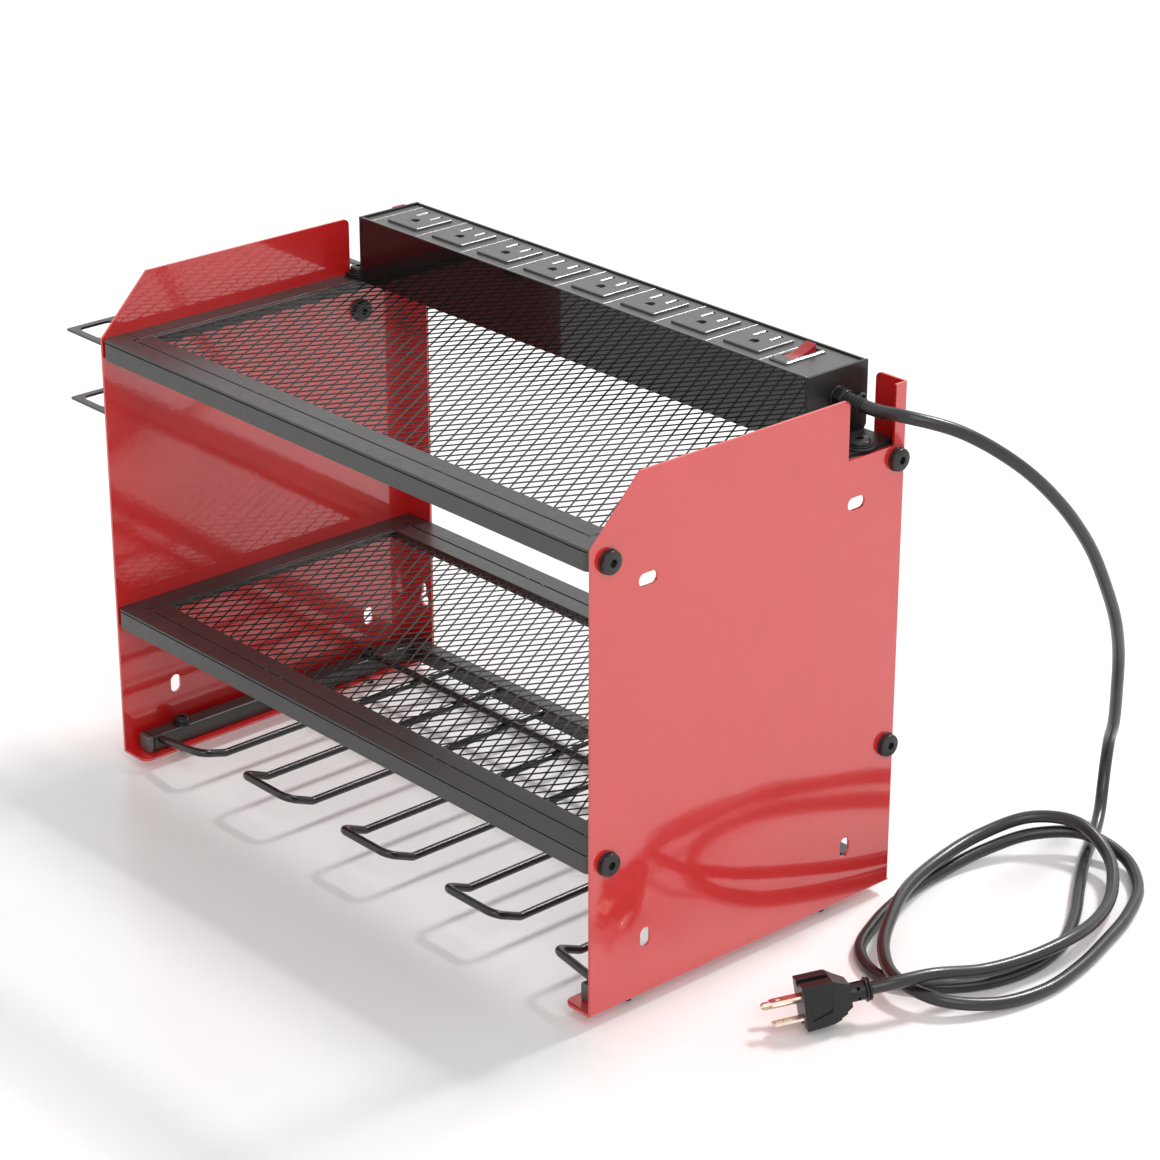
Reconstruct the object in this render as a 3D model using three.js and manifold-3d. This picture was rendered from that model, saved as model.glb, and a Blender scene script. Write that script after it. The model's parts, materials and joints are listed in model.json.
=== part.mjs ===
// Wall mounted power tool organizer. Two folded side panels carry two mesh shelves, a rack of wire
// hooks for drills, a side rack for hand tools, and a power strip with its mains cord and plug.
// Millimetres, +Z up, +X to the right, +Y to the wall. The front of the panels is at y = 0 while the
// pieces are made, and the whole group is then centred over the floor that its feet stand on.
import * as THREE from 'three';
import { mergeVertices } from 'three/addons/utils/BufferGeometryUtils.js';
import Module from 'manifold-3d';

const wasm = await Module();
wasm.setup();

// Driving dimensions of the cabinet
const cabinetWidth = 440;
const panelDepth = 235.8;
const panelHeight = 312.3;
const sheet = 1.6;
const rearFlange = 23;
const bottomFlange = 22.3;
const rearCornerRadius = 4;
const frontCornerRadius = 6;
const shoulderRise = 35.8;
const shoulderRun = 34.85;
const notchWidth = 36.5;
const notchMargin = 9.3;

// Clearances, and the overrun of every cut
const clearance = 0.3;
const overrun = 1;
const arcSteps = 3;

// Slots and holes in the side panels
const slotWidth = 7.5;
const upperSlotLength = 13.5;
const lowerSlotLength = 12;
const frontSlotY = 40.7;
const rearSlotMargin = 38.4;
const upperSlotGap = 14;
const lowerSlotHeight = 35.7;
const keyholeInset = 15.3;
const keyholeHeight = 41.5;
const keyholeRadius = 4.25;
const keyholeNeckRadius = 2.15;
const keyholeNeckRise = 9.4;
const wallHoleRadius = 2.75;

// Shelves
const lowerShelfTop = 100;
const railHeight = 12.5;
const railTopDepth = 13.9;
const railLedge = 3.6;
const sideRailWidth = 14;
const endBlockLength = 9;
const railBoltRise = 4;
const frontBoltY = 12.1;
const rearBoltMargin = 6.8;
const frameSeam = 0.4;
const frameBarWidth = 12.2;
const frameSideWidth = 3;
const meshThickness = 1.2;
const meshStrand = 2.2;
const meshCellsAcross = 16;
const meshCellsDeep = 4;
const meshLap = 1;

// Bolts: M5 button heads with washers
const boltRadius = 2.5;
const headRadius = 6.75;
const headHeight = 3.2;
const headCrownRadius = 4.4;
const headRimHeight = 1.1;
const washerRadius = 7.2;
const washerThickness = 1.1;
const roundSides = 12;

// Bottom rack for drills
const tubeWidth = 12;
const tubeHeight = 11;
const tubeWall = 1.2;
const tubeGapToPanel = 3.4;
const capFrontY = 8;
const capThickness = 4;
const capPlugLength = 6;
const wireRadius = 2.5;
const wireSides = 8;
const legHeight = 9;
const legBendY = 36;
const crossbarY = 17;
const crossbarHeight = 17;
const hookCornerRadius = 10;
const hookWidth = 45.5;
const hookCentreShares = [-0.468, 0.0074, 0.4828];
const leftLegShare = -0.793;
const rightLegShare = 0.8475;
const leftCornerHeight = 14.5;
const rightCrossbarEndY = 12.5;
const crossWireMargin = 32;
const rackBoltFrontY = 37.5;
const rackBoltMargin = 32;
const rackWasherRadius = 6;
const rackHeadRadius = 5;
const nutRadius = 5.6;
const nutHeight = 4;
const boltTip = 3.5;
const nutSides = 6;

// Side rack for hand tools
const rackDepth = 40;
const rackTopRise = 22;
const rackHeight = 46;
const rackFrontY = 2.9;
const rackHoles = 6;
const rackHoleSize = 25;
const rackHoleRadius = 4.5;
const rackRim = 4.4;
const rackRearMargin = 18.8;
const rackNutHeight = 4;

// Power strip
const stripGapLeft = 17.9;
const stripGapRight = 24.9;
const stripRearGap = 4.4;
const stripDepth = 47.2;
const stripHeight = 42.5;
const stripWall = 1.8;
const endCapThickness = 2;
const earGap = 2.4;
const earNutGap = 0.5;
const earSlotLength = 10;
const earSlotMargin = 1.6;
const faceRecess = 1.2;
const facePlateThickness = 2;
const ledgeWidth = 1.5;
const ledgeHeight = 2;
const outlets = 8;
const firstOutletMargin = 30.3;
const switchStep = 31.5;
const switchMargin = 31.9;
const outletPlateWidth = 28.5;
const outletPlateDepth = 29;
const outletPlateRaise = 1.5;
const outletPlateShift = 0.7;
const outletCornerRadius = 2;
const bladeSpacing = 12.7;
const groundOffset = 11.9;
const bladeSlotSetback = 8.5;
const bladeSlotWidth = 2.2;
const neutralSlotLength = 9;
const hotSlotLength = 7.6;
const groundHoleRadius = 2.6;
const earWasherRadius = 9.5;
const earWasherLeftRadius = 7.6;
const earWasherThickness = 1.4;
const earNutRadius = 3.9;
const endScrewHeight = 20.3;
const endScrewMargin = 5.4;
const endScrewRadius = 2;
const endScrewHeadRadius = 4;
const endScrewHeadHeight = 2.4;
const endScrewLength = 9;
const screwBossSize = 8;
const screwBossLength = 12;

// Bus bars inside the power strip
const barThickness = 1;
const barHeight = 8;
const barOverhang = 6;
const hotBarSetback = 8.5;
const neutralBarSetback = 7.5;
const groundBarSetback = 7.1;
const contactLap = 3.5;
const contactOffset = 1.4;

// Rocker switch
const bezelSideLap = 1;
const bezelEndLap = 1.25;
const bezelHeight = 1.5;
const switchBodyWidth = 12;
const switchBodyLength = 29.5;
const switchBodyDepth = 12;
const switchSideWall = 1.6;
const switchEndWall = 1.15;
const switchFloor = 1.5;
const rockerEndGap = 1.6;
const rockerTilt = 10;
const pivotDrop = 2.3;
const rockerCrown = 6.2;
const rockerHeel = 4.4;
const rockerHeelInset = 3.4;
const trunnionRadius = 1.1;
const trunnionReach = 1.2;

// Strain relief on the right end of the power strip
const glandHeight = 26;
const glandFlangeRadius = 6.6;
const glandFlangeThickness = 3;
const glandNeckRadius = 4.6;
const glandNeckLength = 3;
const reliefLength = 17.5;
const reliefStartRadius = 5.6;
const reliefEndRadius = 4.7;
const reliefRibs = 4;
const reliefGrooveDepth = 0.7;

// Cord
const cordRadius = 3.8;
const cordSides = 10;
const cordSteps = 79;

// Plug, in its own frame: the blades point along +X, stacked along Z, with the ground pin at -Y
const plugRear = [313.6, 122.5, 12.2];
const plugDirection = [-0.489, -0.863, -0.124];
const plugTop = [-0.248, -0.058, 0.967];
const plugLength = 27.6;
const plugHeight = 25.5;
const plugThickness = 22;
const plugHeelSize = 13;
const plugShoulder = 16;
const plugNeckRadius = 5.5;
const plugNeckLength = 8.8;
const plugCollarRadius = 7;
const plugCollarLength = 3.8;
const plugRoundSides = 16;
const bladeLength = 18;
const bladeWidth = 6.35;
const bladeThickness = 1.5;
const bladeRoot = 5;
const bladeHoleRadius = 1.6;
const bladeHoleInset = 5;
const bladeTipCut = 1.4;
const bladeRowOffset = 4.2;
const groundPinRadius = 2.38;
const groundPinLength = 21;
const groundPinTip = 2.4;

// Derived places
const shelfTop = panelHeight - shoulderRise;
const panelOuterX = cabinetWidth / 2;
const panelInnerX = panelOuterX - sheet;
const flangeFrontY = panelDepth - sheet;
const rearBoltY = panelDepth - rearBoltMargin;
const rearSlotY = panelDepth - rearSlotMargin;
const upperSlotHeight = shelfTop - railHeight - upperSlotGap;
const notchRearY = panelDepth - notchMargin;
const notchFrontY = notchRearY - notchWidth;
const keyholeX = panelOuterX - keyholeInset;
const railDepth = railTopDepth + railLedge;
const rearRailY = flangeFrontY - railDepth;
const sideRailX = panelInnerX - sideRailWidth;
const frameOuterX = sideRailX - frameSeam;
const frameFrontY = railTopDepth + frameSeam;
const frameRearY = flangeFrontY - railTopDepth - frameSeam;
const meshFrontY = railDepth + clearance;
const meshRearY = rearRailY - clearance;
const frameInnerX = frameOuterX - frameSideWidth;
const tubeOuterX = panelInnerX - tubeGapToPanel;
const tubeInnerX = tubeOuterX - tubeWidth;
const tubeCentreX = (tubeOuterX + tubeInnerX) / 2;
const tubeBottom = sheet;
const tubeTop = tubeBottom + tubeHeight;
const rearTubeY = flangeFrontY - clearance - tubeWidth;
const rackBoltRearY = rearTubeY - rackBoltMargin;
const footHeight = nutHeight + boltTip;
const crossWireY = rearTubeY - crossWireMargin;
const leftCrossbarEndHeight = tubeTop - wireRadius - 2 * clearance;
const stripLeft = -panelInnerX + stripGapLeft;
const stripRight = panelInnerX - stripGapRight;
const stripRearY = panelDepth - stripRearGap;
const stripFrontY = stripRearY - stripDepth;
const stripCentreY = (stripFrontY + stripRearY) / 2;
const stripTop = shelfTop + stripHeight;
const faceTop = stripTop - faceRecess;
const faceBottom = faceTop - facePlateThickness;
const barTop = faceBottom - clearance;
const earReach = panelInnerX - earGap;
const earBoltX = sideRailX + sheet + earNutRadius + earNutGap;
const earBolts = {
  left: { y: stripFrontY + earSlotMargin + earSlotLength / 2, washer: earWasherLeftRadius },
  right: { y: stripCentreY, washer: earWasherRadius },
};
const firstOutletX = stripLeft + firstOutletMargin;
const switchX = stripRight - switchMargin;
const lastOutletX = switchX - switchStep;
const outletPitch = (lastOutletX - firstOutletX) / (outlets - 1);
const outletPlateY = stripCentreY + outletPlateShift;
const bladeSlotY = outletPlateY + bladeSlotSetback;
const groundHoleY = bladeSlotY - groundOffset;
const bezelTop = faceTop + bezelHeight;
const bezelWidth = switchBodyWidth + 2 * bezelSideLap;
const bezelLength = switchBodyLength + 2 * bezelEndLap;
const switchWellWidth = switchBodyWidth - 2 * switchSideWall;
const switchWellLength = switchBodyLength - 2 * switchEndWall;
const rockerLength = switchWellLength - 2 * rockerEndGap;
const pivotHeight = faceBottom - pivotDrop;
const glandZ = shelfTop + glandHeight;
const reliefEndX = stripRight + glandFlangeThickness + reliefLength;
const boltStandOut = washerThickness + headHeight;
const wallHoleHeight = shelfTop - railHeight / 2;
const colours = {
  red: { color: 0xb5161b, roughness: 0.25, metalness: 0.1 },
  black: { color: 0x1b1b1c, roughness: 0.4, metalness: 0.2 },
  darkMetal: { color: 0x2a2a2b, roughness: 0.35, metalness: 0.7 },
  plastic: { color: 0x161617, roughness: 0.5, metalness: 0 },
  cord: { color: 0x1c1c1e, roughness: 0.55, metalness: 0 },
  lamp: { color: 0xa01216, roughness: 0.2, metalness: 0 },
  brass: { color: 0xb59a5e, roughness: 0.3, metalness: 1 },
};

const organizer = new THREE.Group();
const xAxis = new THREE.Vector3(1, 0, 0);
const yAxis = new THREE.Vector3(0, 1, 0);
const zAxis = new THREE.Vector3(0, 0, 1);
const sides = [
  { name: 'left', sign: -1 },
  { name: 'right', sign: 1 },
];

// Solids and shapes

function toSolid(geometry) {
  const bare = geometry.clone();
  bare.deleteAttribute('normal');
  bare.deleteAttribute('uv');
  const merged = mergeVertices(bare);
  const corners = merged.index.array;
  const kept = [];
  for (let i = 0; i < corners.length; i += 3) {
    const [a, b, c] = [corners[i], corners[i + 1], corners[i + 2]];
    if (a !== b && b !== c && c !== a) kept.push(a, b, c);
  }
  return new wasm.Manifold(new wasm.Mesh({
    numProp: 3,
    vertProperties: new Float32Array(merged.attributes.position.array),
    triVerts: new Uint32Array(kept),
  }));
}

function toGeometry(solid) {
  const mesh = solid.getMesh();
  const geometry = new THREE.BufferGeometry();
  geometry.setAttribute('position', new THREE.BufferAttribute(mesh.vertProperties, 3));
  geometry.setIndex(new THREE.BufferAttribute(mesh.triVerts, 1));
  geometry.computeVertexNormals();
  return geometry;
}

function addPiece(name, solid, look, parent = organizer) {
  const material = new THREE.MeshStandardMaterial(colours[look]);
  const mesh = new THREE.Mesh(toGeometry(solid), material);
  mesh.name = name;
  parent.add(mesh);
  return mesh;
}

function join(solids) {
  return solids.reduce((sum, solid) => sum.add(solid));
}

function cut(solid, tools) {
  return tools.reduce((rest, tool) => rest.subtract(tool), solid);
}

function block(x0, x1, y0, y1, z0, z1) {
  const size = [x1 - x0, y1 - y0, z1 - z0].map(Math.abs);
  const geometry = new THREE.BoxGeometry(...size);
  geometry.translate((x0 + x1) / 2, (y0 + y1) / 2, (z0 + z1) / 2);
  return toSolid(geometry);
}

function extrude(shape, from, to, basis, direction) {
  const options = { depth: Math.abs(to - from), bevelEnabled: false };
  const geometry = new THREE.ExtrudeGeometry(shape, options);
  const start = basis.z.dot(direction) > 0 ? Math.min(from, to) : Math.max(from, to);
  const matrix = new THREE.Matrix4().makeBasis(basis.x, basis.y, basis.z);
  matrix.setPosition(direction.clone().multiplyScalar(start));
  geometry.applyMatrix4(matrix);
  return toSolid(geometry);
}

// A shape drawn in (Y, Z), extruded along X
function alongX(shape, x0, x1) {
  return extrude(shape, x0, x1, { x: yAxis, y: zAxis, z: xAxis }, xAxis);
}

// A shape drawn in (X, Z), extruded along Y
function alongY(shape, y0, y1) {
  return extrude(shape, y0, y1, { x: xAxis, y: zAxis, z: yAxis.clone().negate() }, yAxis);
}

// A shape drawn in (X, Y), extruded along Z
function alongZ(shape, z0, z1) {
  return extrude(shape, z0, z1, { x: xAxis, y: yAxis, z: zAxis }, zAxis);
}

function outline(points) {
  return new THREE.Shape(points.map(([a, b]) => new THREE.Vector2(a, b)));
}

function circle(a, b, radius) {
  const points = [];
  for (let i = 0; i < roundSides; i++) {
    const angle = i / roundSides * 2 * Math.PI;
    points.push([a + radius * Math.cos(angle), b + radius * Math.sin(angle)]);
  }
  return outline(points);
}

// A rectangle with round corners, centred at (a, b)
function rounded(a, b, width, height, radius) {
  const points = [];
  for (let quarter = 0; quarter < 4; quarter++) {
    const [signA, signB] = [quarter % 3 === 0 ? 1 : -1, quarter < 2 ? 1 : -1];
    const centre = [a + signA * (width / 2 - radius), b + signB * (height / 2 - radius)];
    for (let step = 0; step <= arcSteps; step++) {
      const angle = (quarter + step / arcSteps) * Math.PI / 2;
      points.push([centre[0] + radius * Math.cos(angle), centre[1] + radius * Math.sin(angle)]);
    }
  }
  return outline(points);
}

// What is cut away to round a corner at (a, b), where the plate lies toward (inA, inB)
function cornerWaste(a, b, inA, inB, radius) {
  const points = [[a - inA * overrun, b - inB * overrun], [a + inA * radius, b - inB * overrun]];
  for (let i = 0; i <= arcSteps; i++) {
    const angle = i / arcSteps * Math.PI / 2;
    const along = radius * (1 - Math.sin(angle));
    const across = radius * (1 - Math.cos(angle));
    points.push([a + inA * along, b + inB * across]);
  }
  points.push([a - inA * overrun, b + inB * radius]);
  return outline(points);
}

// The section of a folded sheet: sharp inside its folds and round outside them, about the same
// point. The path runs along its outer side and turns left at every fold.
function foldedSection(path, mirror = 1) {
  const outer = [path[0]];
  const inner = [];
  const direction = (i) => {
    const run = [path[i + 1][0] - path[i][0], path[i + 1][1] - path[i][1]];
    const length = Math.hypot(...run);
    return run.map((value) => value / length);
  };
  const inward = (point, [a, b]) => [point[0] - b * sheet, point[1] + a * sheet];
  inner.push(inward(path[0], direction(0)));
  for (let i = 1; i < path.length - 1; i++) {
    const [into, out] = [direction(i - 1), direction(i)];
    const centre = [0, 1].map((k) => path[i][k] + sheet * (out[k] - into[k]));
    inner.push(centre);
    for (let step = 0; step <= arcSteps; step++) {
      const angle = step / arcSteps * Math.PI / 2;
      const ray = [0, 1].map((k) => into[k] * Math.sin(angle) - out[k] * Math.cos(angle));
      outer.push([0, 1].map((k) => centre[k] + sheet * ray[k]));
    }
  }
  outer.push(path[path.length - 1]);
  inner.push(inward(path[path.length - 1], direction(path.length - 2)));
  const points = outer.concat(inner.reverse());
  return outline(points.map(([a, b]) => [a * mirror, b]));
}

// A solid of revolution about a line, with its profile given as [radius, distance along the line]
function turned(profile, place, direction, segments = roundSides) {
  const points = profile.map(([radius, along]) => new THREE.Vector2(radius, along));
  const geometry = new THREE.LatheGeometry(points, segments);
  const turn = new THREE.Quaternion().setFromUnitVectors(yAxis, direction);
  geometry.applyQuaternion(turn);
  geometry.translate(place.x, place.y, place.z);
  return toSolid(geometry);
}

function rod(radius, place, direction, length, segments = roundSides) {
  return turned([[0, 0], [radius, 0], [radius, length], [0, length]], place, direction, segments);
}

// A path whose points are used one by one as the rings of a tube
class Route extends THREE.Curve {
  constructor(points) {
    super();
    this.points = points;
  }

  getPoint(t) {
    const last = this.points.length - 1;
    const index = Math.min(Math.floor(t * last), last - 1);
    return this.points[index].clone().lerp(this.points[index + 1], t * last - index);
  }

  getUtoTmapping(u) {
    return u;
  }
}

function tube(points, radius, sectionSides) {
  const section = new THREE.Shape();
  for (let i = 0; i < sectionSides; i++) {
    const angle = (i + 0.5) / sectionSides * 2 * Math.PI;
    const corner = [radius * Math.cos(angle), radius * Math.sin(angle)];
    if (i === 0) section.moveTo(...corner);
    else section.lineTo(...corner);
  }
  section.closePath();
  const options = { steps: points.length - 1, extrudePath: new Route(points), bevelEnabled: false };
  return toSolid(new THREE.ExtrudeGeometry(section, options));
}

// The points of a wire that is straight between its corners and bends round each of them
function bentWire(corners, radius) {
  const points = [corners[0]];
  for (let i = 1; i < corners.length - 1; i++) {
    const into = corners[i].clone().sub(corners[i - 1]).normalize();
    const out = corners[i + 1].clone().sub(corners[i]).normalize();
    const setback = radius * Math.tan(into.angleTo(out) / 2);
    const start = corners[i].clone().addScaledVector(into, -setback);
    const end = corners[i].clone().addScaledVector(out, setback);
    const bend = new THREE.QuadraticBezierCurve3(start, corners[i], end);
    points.push(...bend.getPoints(arcSteps));
  }
  points.push(corners[corners.length - 1]);
  return points;
}

// Fasteners

// A button head with its washer. The shank runs back from the seat, and the head stands on it.
function buttonBolt(place, direction, shank, sizes = {}) {
  const head = sizes.head ?? headRadius;
  const washer = sizes.washer ?? washerRadius;
  const washerHeight = sizes.washerHeight ?? washerThickness;
  const crown = Math.min(headCrownRadius, head * headCrownRadius / headRadius);
  const top = washerHeight + headHeight;
  const profile = [
    [0, -shank], [boltRadius, -shank], [boltRadius, 0], [washer, 0], [washer, washerHeight],
    [head, washerHeight], [head, washerHeight + headRimHeight], [crown, top], [0, top],
  ];
  return turned(profile, place, direction);
}

function hexNut(radius, place, direction, height) {
  return rod(radius, place, direction, height, nutSides);
}

// Side panels

function panelOutline() {
  return outline([
    [-overrun, -overrun], [panelDepth + overrun, -overrun], [panelDepth + overrun, panelHeight],
    [notchRearY, panelHeight], [notchRearY, shelfTop], [notchFrontY, shelfTop],
    [notchFrontY, panelHeight], [shoulderRun, panelHeight], [0, shelfTop], [0, 0], [-overrun, 0],
  ]);
}

function sidePanel(sign) {
  const outerX = sign * panelOuterX;
  const farX = sign * (panelOuterX + overrun);
  const nearX = sign * (panelOuterX - rearFlange - overrun);
  const upright = foldedSection([
    [panelOuterX, 0], [panelOuterX, panelDepth], [panelOuterX - rearFlange, panelDepth],
  ], sign);
  const foot = foldedSection([
    [panelOuterX - bottomFlange, 0], [panelOuterX, 0], [panelOuterX, sheet],
  ], sign);
  const web = alongZ(upright, sheet, panelHeight).intersect(alongX(panelOutline(), nearX, farX));
  const body = web.add(alongY(foot, 0, panelDepth));
  const through = (shape) => alongX(shape, outerX - sign * sheet * 2, farX);
  const tools = [
    through(cornerWaste(notchFrontY, panelHeight, -1, -1, rearCornerRadius)),
    alongY(cornerWaste(sign * (panelOuterX - rearFlange), panelHeight, sign, -1, rearCornerRadius),
      flangeFrontY - overrun, panelDepth + overrun),
    alongZ(cornerWaste(sign * (panelOuterX - bottomFlange), 0, sign, 1, frontCornerRadius),
      -overrun, sheet + overrun),
  ];
  for (const y of [frontSlotY, rearSlotY]) {
    tools.push(through(rounded(y, upperSlotHeight, upperSlotLength, slotWidth, slotWidth / 2)));
    tools.push(through(rounded(y, lowerSlotHeight, slotWidth, lowerSlotLength, slotWidth / 2)));
  }
  for (const top of [shelfTop, lowerShelfTop]) {
    for (const y of [frontBoltY, rearBoltY]) {
      tools.push(through(circle(y, top - railHeight + railBoltRise, boltRadius + clearance)));
    }
  }
  const throughFlange = (shape) => alongY(shape, flangeFrontY - overrun, panelDepth + overrun);
  const neckHeight = keyholeNeckRise + 2 * keyholeNeckRadius;
  tools.push(throughFlange(circle(sign * keyholeX, keyholeHeight, keyholeRadius)));
  tools.push(throughFlange(rounded(sign * keyholeX, keyholeHeight + keyholeNeckRise / 2,
    2 * keyholeNeckRadius, neckHeight, keyholeNeckRadius)));
  tools.push(throughFlange(circle(sign * keyholeX, wallHoleHeight, wallHoleRadius)));
  for (const y of [rackBoltFrontY, rackBoltRearY]) {
    const hole = circle(sign * tubeCentreX, y, boltRadius + clearance);
    tools.push(alongZ(hole, -overrun, sheet + overrun));
  }
  return cut(body, tools);
}

for (const side of sides) addPiece(`side_panel_${side.name}`, sidePanel(side.sign), 'red');

// Shelves

// A rail across the cabinet: a channel open below, with a threaded block at each end, and a ledge
// along its inner side for the shelf's frame to lie on
function crossRail(y0, top, boltY, wallHoles) {
  const y1 = y0 + railDepth;
  const atFront = y0 === 0;
  const bottom = top - railHeight;
  const hollowX = panelInnerX - endBlockLength;
  const outer = block(-panelInnerX, panelInnerX, y0, y1, bottom, top);
  const hollow = block(-hollowX, hollowX, y0 + sheet, y1 - sheet, bottom - overrun, top - 2 * sheet);
  const [ledgeFrontY, ledgeRearY] = atFront ? [railTopDepth, y1 + overrun] : [y0 - overrun, y0 + railLedge];
  const tools = [hollow, block(-sideRailX, sideRailX, ledgeFrontY, ledgeRearY, top - sheet, top + overrun)];
  for (const { sign } of sides) {
    const place = new THREE.Vector3(sign * (hollowX - overrun), boltY, bottom + railBoltRise);
    const reach = endBlockLength + 2 * overrun;
    const direction = xAxis.clone().multiplyScalar(sign);
    tools.push(rod(boltRadius + clearance, place, direction, reach));
    if (wallHoles) {
      const hole = circle(sign * keyholeX, wallHoleHeight, wallHoleRadius);
      tools.push(alongY(hole, y0 - overrun, y1 + overrun));
    }
  }
  return cut(outer, tools);
}

function sideRail(name, sign, top, earHole) {
  const [x0, x1] = [sign * sideRailX, sign * panelInnerX];
  const outer = block(x0, x1, railDepth, rearRailY, top - railHeight, top);
  const hollow = block(x0 - sign * overrun, x1 - sign * sheet, railDepth - overrun, rearRailY + overrun,
    top - railHeight - overrun, top - sheet);
  const tools = [hollow];
  if (earHole) {
    const hole = circle(sign * earBoltX, earBolts[name].y, boltRadius + clearance);
    tools.push(alongZ(hole, top - sheet - overrun, top + overrun));
  }
  return cut(outer, tools);
}

function innerFrame(top) {
  const ring = block(-frameOuterX, frameOuterX, frameFrontY, frameRearY, top - sheet, top);
  const window = block(-frameInnerX, frameInnerX, frameFrontY + frameBarWidth, frameRearY - frameBarWidth,
    top - sheet - overrun, top + overrun);
  return ring.subtract(window);
}

// One diamond gap of the mesh. At an edge of the net only its inner half is open.
function diamondGap(x, y, half, edge) {
  const strand = meshStrand / 2;
  const [middleX, middleY] = [(edge.x0 + edge.x1) / 2, (edge.y0 + edge.y1) / 2];
  if (Math.abs(x - middleX) + half.x > edge.x1 - middleX) {
    const inward = x > middleX ? -1 : 1;
    const base = half.y * (1 - strand / half.x);
    return [[x + inward * strand, y - base], [x + inward * half.x, y], [x + inward * strand, y + base]];
  }
  if (Math.abs(y - middleY) + half.y > edge.y1 - middleY) {
    const inward = y > middleY ? -1 : 1;
    const base = half.x * (1 - strand / half.y);
    return [[x - base, y + inward * strand], [x, y + inward * half.y], [x + base, y + inward * strand]];
  }
  return [[x + half.x, y], [x, y + half.y], [x - half.x, y], [x, y - half.y]];
}

// The expanded mesh: a flat net of diamonds, longer from front to rear
function shelfMesh(top) {
  const edge = {
    x0: -frameInnerX - meshLap,
    x1: frameInnerX + meshLap,
    y0: frameFrontY + frameBarWidth - meshLap,
    y1: frameRearY - frameBarWidth + meshLap,
  };
  const pitchX = (edge.x1 - edge.x0) / meshCellsAcross;
  const pitchY = (edge.y1 - edge.y0) / meshCellsDeep;
  const side = Math.hypot(pitchX, pitchY) / 2;
  const apothem = pitchX * pitchY / 4 / side;
  const openShare = (apothem - meshStrand / 2) / apothem;
  const half = { x: pitchX / 2 * openShare, y: pitchY / 2 * openShare };
  const [bottom, netTop] = [top - sheet - meshThickness, top - sheet];
  const gaps = [];
  const addGap = (x, y) => {
    const shape = outline(diamondGap(x, y, half, edge));
    gaps.push(alongZ(shape, bottom - overrun, netTop + overrun));
  };
  for (let row = 0; row <= 2 * meshCellsDeep; row++) {
    const even = row % 2 === 0;
    for (let column = 0; column <= 2 * meshCellsAcross; column++) {
      if ((column % 2 === 0) !== even) continue;
      const atCorner = row % (2 * meshCellsDeep) === 0 && column % (2 * meshCellsAcross) === 0;
      if (!atCorner) addGap(edge.x0 + column * pitchX / 2, edge.y0 + row * pitchY / 2);
    }
  }
  return cut(block(-frameOuterX, frameOuterX, meshFrontY, meshRearY, bottom, netTop), gaps);
}

for (const [name, top] of [['top_shelf', shelfTop], ['lower_shelf', lowerShelfTop]]) {
  const isTop = top === shelfTop;
  addPiece(`${name}_front_rail`, crossRail(0, top, frontBoltY, false), 'black');
  addPiece(`${name}_rear_rail`, crossRail(rearRailY, top, rearBoltY, isTop), 'black');
  addPiece(`${name}_frame`, innerFrame(top), 'black');
  addPiece(`${name}_mesh`, shelfMesh(top), 'black');
  for (const side of sides) {
    addPiece(`${name}_${side.name}_rail`, sideRail(side.name, side.sign, top, isTop), 'black');
    const direction = xAxis.clone().multiplyScalar(side.sign);
    for (const [end, y] of [['front', frontBoltY], ['rear', rearBoltY]]) {
      const place = new THREE.Vector3(side.sign * panelOuterX, y, top - railHeight + railBoltRise);
      const bolt = buttonBolt(place, direction, sheet + endBlockLength - clearance);
      addPiece(`${name}_bolt_${side.name}_${end}`, bolt, 'darkMetal');
    }
  }
}

// Bottom rack

function rackTube(x0, x1, y0, y1, lengthwise) {
  const outer = block(x0, x1, y0, y1, tubeBottom, tubeTop);
  const over = lengthwise === 'y' ? [-tubeWall, overrun] : [overrun, -tubeWall];
  const [lowX, highX] = [Math.min(x0, x1) - over[0], Math.max(x0, x1) + over[0]];
  const [lowY, highY] = [Math.min(y0, y1) - over[1], Math.max(y0, y1) + over[1]];
  return outer.subtract(block(lowX, highX, lowY, highY, tubeBottom + tubeWall, tubeTop - tubeWall));
}

for (const side of sides) {
  const [x0, x1] = [side.sign * tubeInnerX, side.sign * tubeOuterX];
  const tubeFrontY = capFrontY + capThickness;
  let tubeSolid = rackTube(x0, x1, tubeFrontY, rearTubeY, 'y');
  for (const [end, y] of [['front', rackBoltFrontY], ['rear', rackBoltRearY]]) {
    const hole = circle(side.sign * tubeCentreX, y, boltRadius + clearance);
    tubeSolid = tubeSolid.subtract(alongZ(hole, -overrun, tubeTop + overrun));
    const place = new THREE.Vector3(side.sign * tubeCentreX, y, tubeTop);
    const sizes = { head: rackHeadRadius, washer: rackWasherRadius };
    const bolt = buttonBolt(place, zAxis, tubeTop + footHeight, sizes);
    const nutPlace = new THREE.Vector3(side.sign * tubeCentreX, y, -nutHeight);
    const nut = hexNut(nutRadius, nutPlace, zAxis, nutHeight);
    addPiece(`rack_bolt_${side.name}_${end}`, bolt.add(nut), 'darkMetal');
  }
  addPiece(`rack_tube_${side.name}`, tubeSolid, 'black');
  const inset = tubeWall + clearance;
  const face = block(x0, x1, capFrontY, tubeFrontY, tubeBottom, tubeTop);
  const plug = block(x0 + side.sign * inset, x1 - side.sign * inset, tubeFrontY - overrun,
    tubeFrontY + capPlugLength, tubeBottom + inset, tubeTop - inset);
  addPiece(`rack_end_cap_${side.name}`, face.add(plug), 'plastic');
}
addPiece('rack_rear_tube', rackTube(-tubeOuterX, tubeOuterX, rearTubeY, rearTubeY + tubeWidth, 'x'), 'black');

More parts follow.
